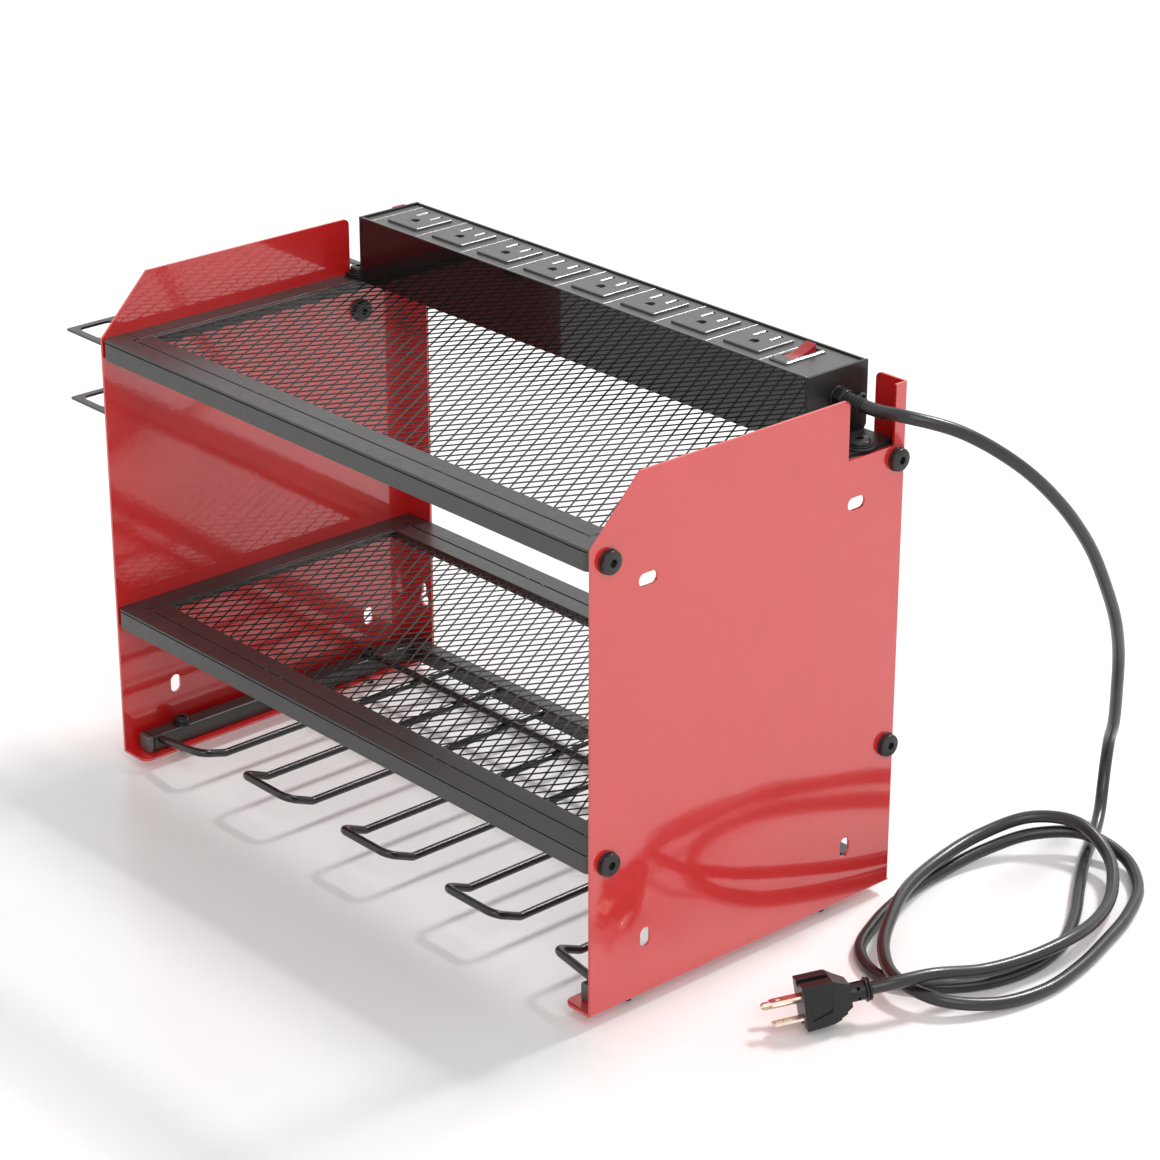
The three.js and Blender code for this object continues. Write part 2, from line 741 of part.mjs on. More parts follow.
const crossWireHeight = legHeight + 2 * wireRadius + clearance / 2;
const crossWireX = tubeInnerX - clearance;
const crossWireEnds = [-crossWireX, crossWireX].map((x) => new THREE.Vector3(x, crossWireY, crossWireHeight));
addPiece('rack_cross_wire', tube(crossWireEnds, wireRadius, wireSides), 'black');

function hookWire(corners) {
  const points = corners.map(([x, y, z]) => new THREE.Vector3(x, y, z));
  return tube(bentWire(points, hookCornerRadius), wireRadius, wireSides);
}

function hookLeg(x) {
  return [[x, legBendY, legHeight], [x, rearTubeY, legHeight]];
}

hookCentreShares.forEach((share, index) => {
  const centre = share * tubeInnerX;
  const [left, right] = [centre - hookWidth / 2, centre + hookWidth / 2];
  const front = [[left, crossbarY, crossbarHeight], [right, crossbarY, crossbarHeight]];
  const corners = [...hookLeg(left).reverse(), ...front, ...hookLeg(right)];
  addPiece(`drill_hook_${index + 1}`, hookWire(corners), 'black');
});
const leftLegX = leftLegShare * tubeInnerX;
addPiece('half_hook_left', hookWire([
  [-tubeInnerX + 2 * clearance, crossbarY, leftCrossbarEndHeight], [leftLegX, crossbarY, leftCornerHeight],
  ...hookLeg(leftLegX),
]), 'black');
const rightLegX = rightLegShare * tubeInnerX;
addPiece('half_hook_right', hookWire([
  [tubeCentreX, rightCrossbarEndY, tubeTop + wireRadius], [rightLegX, crossbarY, crossbarHeight],
  ...hookLeg(rightLegX),
]), 'black');

// Side rack

const rackTopHeight = upperSlotHeight + rackTopRise;
const rackBottomHeight = rackTopHeight - rackHeight;
const rackOuterX = -panelOuterX - rackDepth;
const rackRearY = panelDepth - rackRearMargin;
const rackBoltHole = (y) => circle(y, upperSlotHeight, boltRadius + clearance);

function sideRack() {
  const section = foldedSection([
    [rackOuterX, rackBottomHeight], [-panelOuterX, rackBottomHeight],
    [-panelOuterX, rackTopHeight], [rackOuterX, rackTopHeight],
  ]);
  const tools = [];
  const rackLength = rackRearY - rackFrontY;
  const first = rackFrontY + rackRim + rackHoleSize / 2;
  const pitch = (rackLength - 2 * rackRim - rackHoleSize) / (rackHoles - 1);
  const holeX = rackOuterX + rackRim + rackHoleSize / 2;
  for (let i = 0; i < rackHoles; i++) {
    const hole = rounded(holeX, first + i * pitch, rackHoleSize, rackHoleSize, rackHoleRadius);
    tools.push(alongZ(hole, rackBottomHeight - overrun, rackTopHeight + overrun));
  }
  for (const y of [frontSlotY, rearSlotY]) {
    tools.push(alongX(rackBoltHole(y), -panelOuterX - 2 * sheet, -panelOuterX + overrun));
  }
  for (const y of [frontBoltY, rearBoltY]) {
    const place = new THREE.Vector3(-panelOuterX + overrun, y, shelfTop - railHeight + railBoltRise);
    const depth = boltStandOut + clearance + overrun;
    tools.push(rod(washerRadius + 2 * clearance, place, xAxis.clone().negate(), depth));
  }
  return cut(alongY(section, rackFrontY, rackRearY), tools);
}

addPiece('side_rack', sideRack(), 'black');
for (const [end, y] of [['front', frontSlotY], ['rear', rearSlotY]]) {
  const shank = 2 * sheet + rackNutHeight;
  const bolt = buttonBolt(new THREE.Vector3(-panelInnerX, y, upperSlotHeight), xAxis, shank);
  const nutPlace = new THREE.Vector3(-panelOuterX - sheet, y, upperSlotHeight);
  const nut = hexNut(nutRadius, nutPlace, xAxis.clone().negate(), rackNutHeight);
  addPiece(`side_rack_bolt_${end}`, bolt.add(nut), 'darkMetal');
}

// Power strip

const bodyLeft = stripLeft + endCapThickness;
const bodyRight = stripRight - endCapThickness;
const endScrews = {
  left: { y: stripFrontY + endScrewMargin, wallY: stripFrontY + stripWall },
  right: { y: stripRearY - endScrewMargin, wallY: stripRearY - stripWall },
};
const endScrewZ = shelfTop + endScrewHeight;

function stripHousing() {
  const outer = block(bodyLeft, bodyRight, stripFrontY, stripRearY, shelfTop, stripTop);
  const [innerFrontY, innerRearY] = [stripFrontY + stripWall, stripRearY - stripWall];
  const hollow = block(bodyLeft - overrun, bodyRight + overrun, innerFrontY, innerRearY,
    shelfTop + stripWall, stripTop + overrun);
  const additions = [];
  const ledgeBottom = faceBottom - ledgeHeight;
  for (const [wallY, inward] of [[innerFrontY, 1], [innerRearY, -1]]) {
    const [outY, inY] = [wallY - inward * stripWall / 2, wallY + inward * ledgeWidth];
    additions.push(block(bodyLeft, bodyRight, outY, inY, ledgeBottom, faceBottom));
  }
  const bores = [];
  for (const { name, sign } of sides) {
    const { y, wallY } = endScrews[name];
    const end = sign > 0 ? bodyRight : bodyLeft;
    const toward = Math.sign(y - wallY);
    const farY = y + toward * screwBossSize / 2;
    const halfBoss = screwBossSize / 2;
    additions.push(block(end - sign * screwBossLength, end, wallY - toward * stripWall / 2, farY,
      endScrewZ - halfBoss, endScrewZ + halfBoss));
    const place = new THREE.Vector3(end - sign * (endScrewLength + clearance), y, endScrewZ);
    const direction = xAxis.clone().multiplyScalar(sign);
    bores.push(rod(endScrewRadius + clearance, place, direction, endScrewLength + 2 * overrun));
  }
  return cut(join([outer.subtract(hollow), ...additions]), bores);
}

function facePlate() {
  const [y0, y1] = [stripFrontY + stripWall + clearance, stripRearY - stripWall - clearance];
  const plate = block(bodyLeft + clearance, bodyRight - clearance, y0, y1, faceBottom, faceTop);
  const raised = [];
  const tools = [];
  const through = (shape) => alongZ(shape, faceBottom - overrun, faceTop + outletPlateRaise + overrun);
  for (let i = 0; i < outlets; i++) {
    const x = firstOutletX + i * outletPitch;
    const pad = rounded(x, outletPlateY, outletPlateWidth, outletPlateDepth, outletCornerRadius);
    raised.push(alongZ(pad, faceTop - facePlateThickness / 2, faceTop + outletPlateRaise));
    const slot = (offset, length) => block(x + offset - bladeSlotWidth / 2, x + offset + bladeSlotWidth / 2,
      bladeSlotY - length / 2, bladeSlotY + length / 2, faceBottom - overrun,
      faceTop + outletPlateRaise + overrun);
    tools.push(slot(-bladeSpacing / 2, neutralSlotLength), slot(bladeSpacing / 2, hotSlotLength));
    tools.push(through(circle(x, groundHoleY, groundHoleRadius)));
  }
  const [holeWidth, holeLength] = [switchBodyWidth + 2 * clearance, switchBodyLength + 2 * clearance];
  tools.push(switchBlock(holeWidth, holeLength, faceBottom - overrun, faceTop + overrun));
  return cut(join([plate, ...raised]), tools);
}

function endCap(name, sign) {
  const [face, end] = sign > 0 ? [bodyRight, stripRight] : [bodyLeft, stripLeft];
  const plate = block(face, end, stripFrontY, stripRearY, shelfTop, stripTop);
  const ear = block(face, sign * earReach, stripFrontY, stripRearY, shelfTop, shelfTop + endCapThickness);
  const slot = rounded(sign * earBoltX, earBolts[name].y, 2 * (boltRadius + clearance), earSlotLength,
    boltRadius + clearance);
  const tools = [alongZ(slot, shelfTop - overrun, shelfTop + endCapThickness + overrun)];
  const direction = xAxis.clone().multiplyScalar(sign);
  const behind = face - sign * overrun;
  const reach = endCapThickness + 2 * overrun;
  const screwPlace = new THREE.Vector3(behind, endScrews[name].y, endScrewZ);
  tools.push(rod(endScrewRadius + clearance, screwPlace, direction, reach));
  if (sign > 0) {
    const glandPlace = new THREE.Vector3(behind, stripCentreY, glandZ);
    tools.push(rod(glandNeckRadius + clearance, glandPlace, direction, reach));
  }
  return cut(plate.add(ear), tools);
}

addPiece('strip_housing', stripHousing(), 'plastic');
addPiece('strip_face_plate', facePlate(), 'plastic');
for (const { name, sign } of sides) {
  addPiece(`strip_end_cap_${name}`, endCap(name, sign), 'plastic');
  const earTop = shelfTop + endCapThickness;
  const shank = endCapThickness + sheet + nutHeight;
  const { y, washer } = earBolts[name];
  const bolt = buttonBolt(new THREE.Vector3(sign * earBoltX, y, earTop), zAxis, shank,
    { washer, washerHeight: earWasherThickness });
  const nutPlace = new THREE.Vector3(sign * earBoltX, y, shelfTop - sheet - nutHeight);
  addPiece(`strip_ear_bolt_${name}`, bolt.add(hexNut(earNutRadius, nutPlace, zAxis, nutHeight)), 'darkMetal');
  const screwProfile = [
    [0, -endScrewLength], [endScrewRadius, -endScrewLength], [endScrewRadius, 0], [endScrewHeadRadius, 0],
    [endScrewHeadRadius, endScrewHeadHeight / 2], [endScrewHeadRadius / 2, endScrewHeadHeight],
    [0, endScrewHeadHeight],
  ];
  const seat = new THREE.Vector3(sign > 0 ? stripRight : stripLeft, endScrews[name].y, endScrewZ);
  const direction = xAxis.clone().multiplyScalar(sign);
  addPiece(`strip_end_screw_${name}`, turned(screwProfile, seat, direction), 'darkMetal');
}

// One bus bar: a rail under the face plate with a contact beside the slots of every outlet
function busBar(railY, contactX, contactY) {
  const reach = bladeSpacing / 2 + barOverhang;
  const solids = [
    block(firstOutletX - reach, lastOutletX + reach, railY, railY + barThickness, barTop - barHeight, barTop),
  ];
  for (let i = 0; i < outlets; i++) {
    const x = firstOutletX + i * outletPitch + contactX;
    const railMiddleY = railY + barThickness / 2;
    solids.push(block(x, x + barThickness, contactY, railMiddleY, barTop - barHeight, barTop));
  }
  return join(solids);
}

const hotContactX = bladeSpacing / 2 + contactOffset;
const groundContactX = groundHoleRadius + contactOffset / 2;
const hotBarY = bladeSlotY + hotBarSetback;
const neutralBarY = bladeSlotY - neutralBarSetback;
const groundBarY = groundHoleY - groundBarSetback;
addPiece('bus_bar_hot', busBar(hotBarY, hotContactX, bladeSlotY - contactLap), 'brass');
const neutralContactX = -hotContactX - barThickness;
addPiece('bus_bar_neutral', busBar(neutralBarY, neutralContactX, bladeSlotY + contactLap), 'brass');
addPiece('bus_bar_ground', busBar(groundBarY, groundContactX, groundHoleY + contactLap / 2), 'brass');

// Switch: a body in the face plate with a bezel on top, and a rocker that tips in it
function switchBlock(width, length, bottom, top) {
  return block(switchX - width / 2, switchX + width / 2, stripCentreY - length / 2,
    stripCentreY + length / 2, bottom, top);
}

function switchBody() {
  const plate = rounded(switchX, stripCentreY, bezelWidth, bezelLength, outletCornerRadius);
  const bezel = alongZ(plate, faceTop, bezelTop);
  const bottom = faceTop - switchBodyDepth;
  const body = switchBlock(switchBodyWidth, switchBodyLength, bottom, faceTop + bezelHeight / 2);
  const well = switchBlock(switchWellWidth, switchWellLength, bottom + switchFloor, bezelTop + overrun);
  const holePlace = new THREE.Vector3(switchX - bezelWidth / 2, stripCentreY, pivotHeight);
  const holes = rod(trunnionRadius + clearance, holePlace, xAxis, bezelWidth);
  return cut(bezel.add(body), [well, holes]);
}

function rockerBody() {
  const half = rockerLength / 2;
  const tip = rockerCrown + half * Math.tan(THREE.MathUtils.degToRad(rockerTilt));
  const profile = outline([
    [0, rockerCrown], [half, tip], [half - rockerHeelInset, -rockerHeel],
    [-half + rockerHeelInset, -rockerHeel], [-half, tip],
  ]);
  const halfWidth = switchWellWidth / 2 - clearance;
  const pinPlace = new THREE.Vector3(-halfWidth - trunnionReach, 0, 0);
  const pin = rod(trunnionRadius, pinPlace, xAxis, 2 * (halfWidth + trunnionReach));
  return alongX(profile, -halfWidth, halfWidth).add(pin);
}

addPiece('switch_body', switchBody(), 'plastic');
const rocker = addPiece('switch_rocker', rockerBody(), 'lamp');
rocker.position.set(switchX, stripCentreY, pivotHeight);
rocker.rotation.x = THREE.MathUtils.degToRad(rockerTilt);

// Strain relief: a flanged gland in the right end cap, with a ribbed sleeve that tapers to the cord
function strainRelief() {
  const profile = [
    [0, -glandNeckLength], [glandNeckRadius, -glandNeckLength], [glandNeckRadius, 0],
    [glandFlangeRadius, 0], [glandFlangeRadius, glandFlangeThickness],
  ];
  const stage = reliefLength / (2 * reliefRibs + 1);
  for (let i = 0; i <= 2 * reliefRibs; i++) {
    const share = i / (2 * reliefRibs);
    const taper = reliefStartRadius + (reliefEndRadius - reliefStartRadius) * share;
    const radius = i % 2 === 0 ? taper : taper - reliefGrooveDepth;
    const start = glandFlangeThickness + i * stage;
    profile.push([radius, start], [radius, start + stage]);
  }
  profile.push([0, glandFlangeThickness + reliefLength]);
  return turned(profile, new THREE.Vector3(stripRight, stripCentreY, glandZ), xAxis);
}

addPiece('strain_relief', strainRelief(), 'plastic');

// Plug
const plugRearPlace = new THREE.Vector3(...plugRear);
const plugAxis = new THREE.Vector3(...plugDirection).normalize();
const plugUp = new THREE.Vector3(...plugTop).projectOnPlane(plugAxis).normalize();
const plugSide = new THREE.Vector3().crossVectors(plugUp, plugAxis);
const plugTotalLength = plugLength + plugNeckLength + plugCollarLength;
const plug = new THREE.Group();
plug.quaternion.setFromRotationMatrix(new THREE.Matrix4().makeBasis(plugAxis, plugSide, plugUp));
plug.position.copy(plugRearPlace).addScaledVector(plugAxis, plugTotalLength);
organizer.add(plug);

function bladeBlank(z, grow) {
  const front = grow > 0 ? 0 : bladeLength;
  const halfWidth = bladeWidth / 2 + grow;
  const halfThickness = bladeThickness / 2 + grow;
  return block(-bladeRoot - grow, front + overrun * Math.sign(grow), bladeRowOffset - halfWidth,
    bladeRowOffset + halfWidth, z - halfThickness, z + halfThickness);
}

function plugBlade(z) {
  const tools = [rod(bladeHoleRadius, new THREE.Vector3(bladeLength - bladeHoleInset, bladeRowOffset,
    z - bladeThickness), zAxis, 2 * bladeThickness)];
  for (const toward of [-1, 1]) {
    const waste = outline([
      [bladeLength + overrun, bladeRowOffset + toward * (bladeWidth / 2 + overrun)],
      [bladeLength - bladeTipCut - overrun, bladeRowOffset + toward * (bladeWidth / 2 + overrun)],
      [bladeLength - bladeTipCut, bladeRowOffset + toward * bladeWidth / 2],
      [bladeLength, bladeRowOffset + toward * (bladeWidth / 2 - bladeTipCut)],
      [bladeLength + overrun, bladeRowOffset + toward * (bladeWidth / 2 - bladeTipCut)],
    ]);
    tools.push(alongZ(waste, z - bladeThickness, z + bladeThickness));
  }
  return cut(bladeBlank(z, 0), tools);
}

const groundPinY = bladeRowOffset - groundOffset;

function plugBody() {
  const halfHeel = plugHeelSize / 2;
  const taper = (half) => outline([
    [0, -half], [0, half], [-plugShoulder, half], [-plugLength, halfHeel],
    [-plugLength, -halfHeel], [-plugShoulder, -half],
  ]);
  const fromAbove = alongZ(taper(plugThickness / 2), -plugHeight / 2, plugHeight / 2);
  const fromTheSide = alongY(taper(plugHeight / 2), -plugThickness / 2, plugThickness / 2);
  const backward = xAxis.clone().negate();
  const neckStart = new THREE.Vector3(-plugLength + overrun, 0, 0);
  const neck = rod(plugNeckRadius, neckStart, backward, plugNeckLength + 2 * overrun, plugRoundSides);
  const collarStart = new THREE.Vector3(-plugLength - plugNeckLength, 0, 0);
  const collar = rod(plugCollarRadius, collarStart, backward, plugCollarLength, plugRoundSides);
  const pinPocket = rod(groundPinRadius + clearance, new THREE.Vector3(-bladeRoot - clearance, groundPinY, 0),
    xAxis, bladeRoot + 2 * overrun);
  const bladePockets = [1, -1].map((toward) => bladeBlank(toward * bladeSpacing / 2, clearance));
  return cut(join([fromAbove.intersect(fromTheSide), neck, collar]), [...bladePockets, pinPocket]);
}

const pinProfile = [
  [0, -bladeRoot], [groundPinRadius, -bladeRoot], [groundPinRadius, groundPinLength - groundPinTip],
  [groundPinRadius / 2, groundPinLength], [0, groundPinLength],
];
addPiece('plug_body', plugBody(), 'plastic', plug);
addPiece('plug_blade_hot', plugBlade(bladeSpacing / 2), 'brass', plug);
addPiece('plug_blade_neutral', plugBlade(-bladeSpacing / 2), 'brass', plug);
addPiece('plug_ground_pin', turned(pinProfile, new THREE.Vector3(0, groundPinY, 0), xAxis), 'brass', plug);

// Cord: straight out of the strain relief, down behind the loops, two loose turns on the floor, and
// over the earlier turns to the plug. Each point is the middle of the cord.
const floorHeight = -footHeight + cordRadius;
const cordPlaces = [
  [225, 208, 302.7], [242, 211, 303.5], [261.6, 233.4, 294.7], [276.4, 265.5, 271.5],
  [282.6, 296.2, 241.8], [283.9, 322.3, 209.7], [280.5, 343.5, 178], [274.9, 362, 148.4],
  [266.3, 378, 119.7], [257.8, 389.6, 89.8], [247.8, 401.5, 59.5], [238.2, 410.5, 41.4],
  [237.3, 409.8, 26.3], [240.5, 404.5, 13.5], [247.2, 394.8, 3], [256.3, 380.3, -2.5],
  [266.8, 362.2, -3.7], [279.9, 341.2, -3.7], [297.9, 316.1, -3.7], [317, 290, -3.7],
  [333.1, 260.9, -3.7], [340.1, 227.7, -3.7], [334.1, 194.6, -3.7], [315, 167.5, -3.7],
  [288.9, 156, -3.7], [262.8, 167.5, -3.7], [245.8, 197.6, -3.7], [234.7, 232.8, -3.7],
  [229.7, 268.9, -3.5], [232.7, 305, 0.5], [244.7, 336.2, 5.4], [266.8, 358.3, 5.9], [294.9, 361.2, 0],
  [320, 343.2, -3.5], [337.1, 313.1, -3.7], [348.1, 280.9, -3.7], [357.2, 247.8, -3.7],
  [361.2, 213.7, -3.7], [354.1, 178.6, -2], [335.1, 153.5, 2.3], [307.9, 149.5, 5.3],
  [280.8, 167.6, 5.1], [256.8, 199.7, 5.2], [239.7, 231.8, 5.4], [229.7, 268.9, 5.8],
  [228.6, 307.1, 9.1], [240.7, 338.2, 14.5], [264.7, 352.3, 14.9], [292.9, 347.2, 6.5],
  [317, 323.1, 1.5], [334.1, 291, 2.5], [343.1, 256.9, 5.7], [342.1, 220.8, 5.9], [336, 188.7, 7.5],
  [327.5, 156.6, 13.5],
];

const plugLead = 12;
const cordStart = new THREE.Vector3(reliefEndX + clearance, stripCentreY, glandZ);
const cordEnd = plugRearPlace.clone().addScaledVector(plugAxis, -clearance);
const cordRoute = [
  cordStart, ...cordPlaces.map(([x, y, z]) => new THREE.Vector3(x, y, z)),
  plugRearPlace.clone().addScaledVector(plugAxis, -plugLead), cordEnd,
];

class LaidCord extends THREE.Curve {
  constructor(points) {
    super();
    this.spline = new THREE.CatmullRomCurve3(points, false, 'centripetal');
  }

  getPoint(t) {
    const point = this.spline.getPoint(t);
    point.z = Math.max(point.z, floorHeight);
    return point;
  }
}

const laidCord = new LaidCord(cordRoute);
addPiece('power_cord', tube(laidCord.getPoints(cordSteps), cordRadius, cordSides), 'cord');

// The free space between the turns, measured on points along the cord's middle line
function leastGap(points, apart) {
  let least = Infinity;
  let run = 0;
  const along = points.map((point, i) => {
    run += i > 0 ? point.distanceTo(points[i - 1]) : 0;
    return run;
  });
  for (let i = 0; i < points.length; i++) {
    for (let j = i + 1; j < points.length; j++) {
      if (along[j] - along[i] > apart) least = Math.min(least, points[i].distanceTo(points[j]));
    }
  }
  return { length: run, gap: least - 2 * cordRadius };
}

const measurePoints = 1200;
const measureSkip = 16 * cordRadius;
const measured = leastGap(laidCord.getPoints(measurePoints), measureSkip);
console.log(`cord length ${measured.length.toFixed(1)}, least gap to itself ${measured.gap.toFixed(2)}`);

// The origin is under the middle of the object without its cord, on the floor that the feet touch
organizer.position.set((rackDepth - boltStandOut) / 2, -panelDepth / 2, footHeight);
organizer.name = 'power_tool_organizer';
export default organizer;
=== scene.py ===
"""Wall mounted power tool organizer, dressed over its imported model.

Pieces are built in millimetres about the cabinet's own origin: the middle of its width, the front
of its panels and the underside of their flanges. dress() then sets each one into the model's frame,
in metres, where +X is right, +Y is toward the wall and +Z is up.
"""
import json
import math

import bmesh
import bpy
from mathutils import Matrix, Vector

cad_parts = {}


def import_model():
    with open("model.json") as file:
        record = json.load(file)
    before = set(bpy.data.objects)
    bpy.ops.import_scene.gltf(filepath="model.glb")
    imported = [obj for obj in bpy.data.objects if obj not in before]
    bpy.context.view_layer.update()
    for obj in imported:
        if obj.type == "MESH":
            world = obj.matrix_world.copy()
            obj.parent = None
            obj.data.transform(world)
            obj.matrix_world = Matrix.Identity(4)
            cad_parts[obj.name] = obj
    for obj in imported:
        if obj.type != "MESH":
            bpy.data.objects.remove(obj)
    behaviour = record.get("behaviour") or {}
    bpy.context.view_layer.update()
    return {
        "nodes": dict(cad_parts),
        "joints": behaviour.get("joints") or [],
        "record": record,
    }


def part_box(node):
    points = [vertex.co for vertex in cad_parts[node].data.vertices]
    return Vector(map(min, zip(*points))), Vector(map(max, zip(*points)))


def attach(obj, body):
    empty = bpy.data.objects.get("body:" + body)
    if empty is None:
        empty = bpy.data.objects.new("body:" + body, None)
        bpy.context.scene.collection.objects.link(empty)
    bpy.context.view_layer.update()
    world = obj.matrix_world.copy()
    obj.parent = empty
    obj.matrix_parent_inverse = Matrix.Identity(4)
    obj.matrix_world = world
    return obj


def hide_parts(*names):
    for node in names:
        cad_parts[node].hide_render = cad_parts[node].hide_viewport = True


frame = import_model()

MM = 0.001
LEFT_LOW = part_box("side_panel_left")[0]
RIGHT_LOW, RIGHT_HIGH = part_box("side_panel_right")
ORIGIN = Vector(((LEFT_LOW.x + RIGHT_HIGH.x) / 2, RIGHT_LOW.y, RIGHT_LOW.z))
TO_FRAME = Matrix.Translation(ORIGIN) @ Matrix.Scale(MM, 4)
X_AXIS, Z_AXIS = Vector((1, 0, 0)), Vector((0, 0, 1))
SIDES = (("left", -1), ("right", 1))
ENDS = ("front", "rear")


def extent(node):
    """A node's lowest and highest corner, in millimetres about the cabinet's origin."""
    low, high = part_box(node)
    return (low - ORIGIN) / MM, (high - ORIGIN) / MM


def middle(node, x=None, z=None):
    """The middle of a node, or the point beside or above it that has that x or z."""
    low, high = extent(node)
    centre = (low + high) / 2
    return Vector((centre.x if x is None else x, centre.y, centre.z if z is None else z))


def outer_x(node, sign):
    """How far a node reaches to the left (-1) or to the right (1)."""
    low, high = extent(node)
    return high.x if sign > 0 else low.x


# Camera, as the photograph was taken

CAMERA_PLACE = Vector((1417.43, -1082.63, 962.83))
CAMERA_AZIMUTH = math.radians(48.08)
CAMERA_ELEVATION = math.radians(23.50)
CAMERA_ROLL = math.radians(0.03)
CAMERA_CLIP = (0.05, 50.0)
FOCAL_PIXELS = 3418.16
PHOTO_PIXELS = 1160
SENSOR_MM = 36.0


def make_camera():
    level = Vector((math.cos(CAMERA_AZIMUTH), math.sin(CAMERA_AZIMUTH), 0))
    toward = Vector((level.y, -level.x, 0))
    back = toward * math.cos(CAMERA_ELEVATION) + Z_AXIS * math.sin(CAMERA_ELEVATION)
    right = level * math.cos(CAMERA_ROLL) + back.cross(level) * math.sin(CAMERA_ROLL)
    data = bpy.data.cameras.new("camera")
    data.sensor_width = SENSOR_MM
    data.lens = FOCAL_PIXELS * SENSOR_MM / PHOTO_PIXELS
    data.clip_start, data.clip_end = CAMERA_CLIP
    camera = bpy.data.objects.new("camera", data)
    bpy.context.scene.collection.objects.link(camera)
    rotation = Matrix((right, back.cross(right), back)).transposed().to_4x4()
    camera.matrix_world = Matrix.Translation(ORIGIN + CAMERA_PLACE * MM) @ rotation
    bpy.context.scene.camera = camera


make_camera()

# Materials, with sizes and depths in millimetres

NOISE_RANGE = (0.3, 0.7)
FINE_DETAIL, SOFT_DETAIL = 3.0, 2.0
MIX_FIRST, MIX_SECOND, MIX_RESULT = 6, 7, 2


def made_node(tree, kind, inputs, **settings):
    """A shader node, with its inputs linked to sockets or set to values."""
    made = tree.nodes.new(kind)
    for name, value in settings.items():
        setattr(made, name, value)
    for name, value in inputs.items():
        if isinstance(value, bpy.types.NodeSocket):
            tree.links.new(value, made.inputs[name])
        else:
            made.inputs[name].default_value = value
    return made


class Look:
    """A Principled material with the procedural nodes that break up its surface."""

    def __init__(self, name, values):
        self.material = bpy.data.materials.new(name)
        self.material.use_nodes = True
        self.tree = self.material.node_tree
        self.surface = self.tree.nodes["Principled BSDF"]
        for label, value in values.items():
            self.surface.inputs[label].default_value = value
        self.coordinates = self.tree.nodes.new("ShaderNodeTexCoord").outputs["Object"]

    def feed(self, label, source):
        self.tree.links.new(source, self.surface.inputs[label])

    def noise(self, size, low=0.0, high=1.0, detail=FINE_DETAIL):
        """Noise whose blotches are about that size, from low to high."""
        source = made_node(self.tree, "ShaderNodeTexNoise", {
            "Vector": self.coordinates, "Scale": 1 / (size * MM), "Detail": detail})
        spread = made_node(self.tree, "ShaderNodeMapRange", {
            "Value": source.outputs["Fac"], "From Min": NOISE_RANGE[0], "From Max": NOISE_RANGE[1],
            "To Min": low, "To Max": high})
        return spread.outputs["Result"]

    def tint(self, first, second, size):
        """Base colour that drifts between two colours."""
        mix = made_node(self.tree, "ShaderNodeMix", {
            "Factor": self.noise(size), MIX_FIRST: (*first, 1), MIX_SECOND: (*second, 1)},
            data_type="RGBA")
        self.feed("Base Color", mix.outputs[MIX_RESULT])

    def bump(self, layers):
        """Bumps from layers of (blotch size, depth)."""
        inputs = {}
        for size, depth in layers:
            inputs.update({"Height": self.noise(size, detail=SOFT_DETAIL), "Distance": depth * MM})
            inputs["Normal"] = made_node(self.tree, "ShaderNodeBump", inputs).outputs["Normal"]
        self.feed("Normal", inputs["Normal"])
        return inputs["Normal"]


def finish(name, tint, roughness, bumps, values, rough_coat=False):
    """A material. The tint is two colours and the size of their drift, the roughness is a size
    and a range, and a rough coat has the bumps too."""
    look = Look(name, values)
    look.tint(*tint)
    look.feed("Roughness", look.noise(*roughness))
    normal = look.bump(bumps)
    if rough_coat:
        look.feed("Coat Normal", normal)
    return look.material


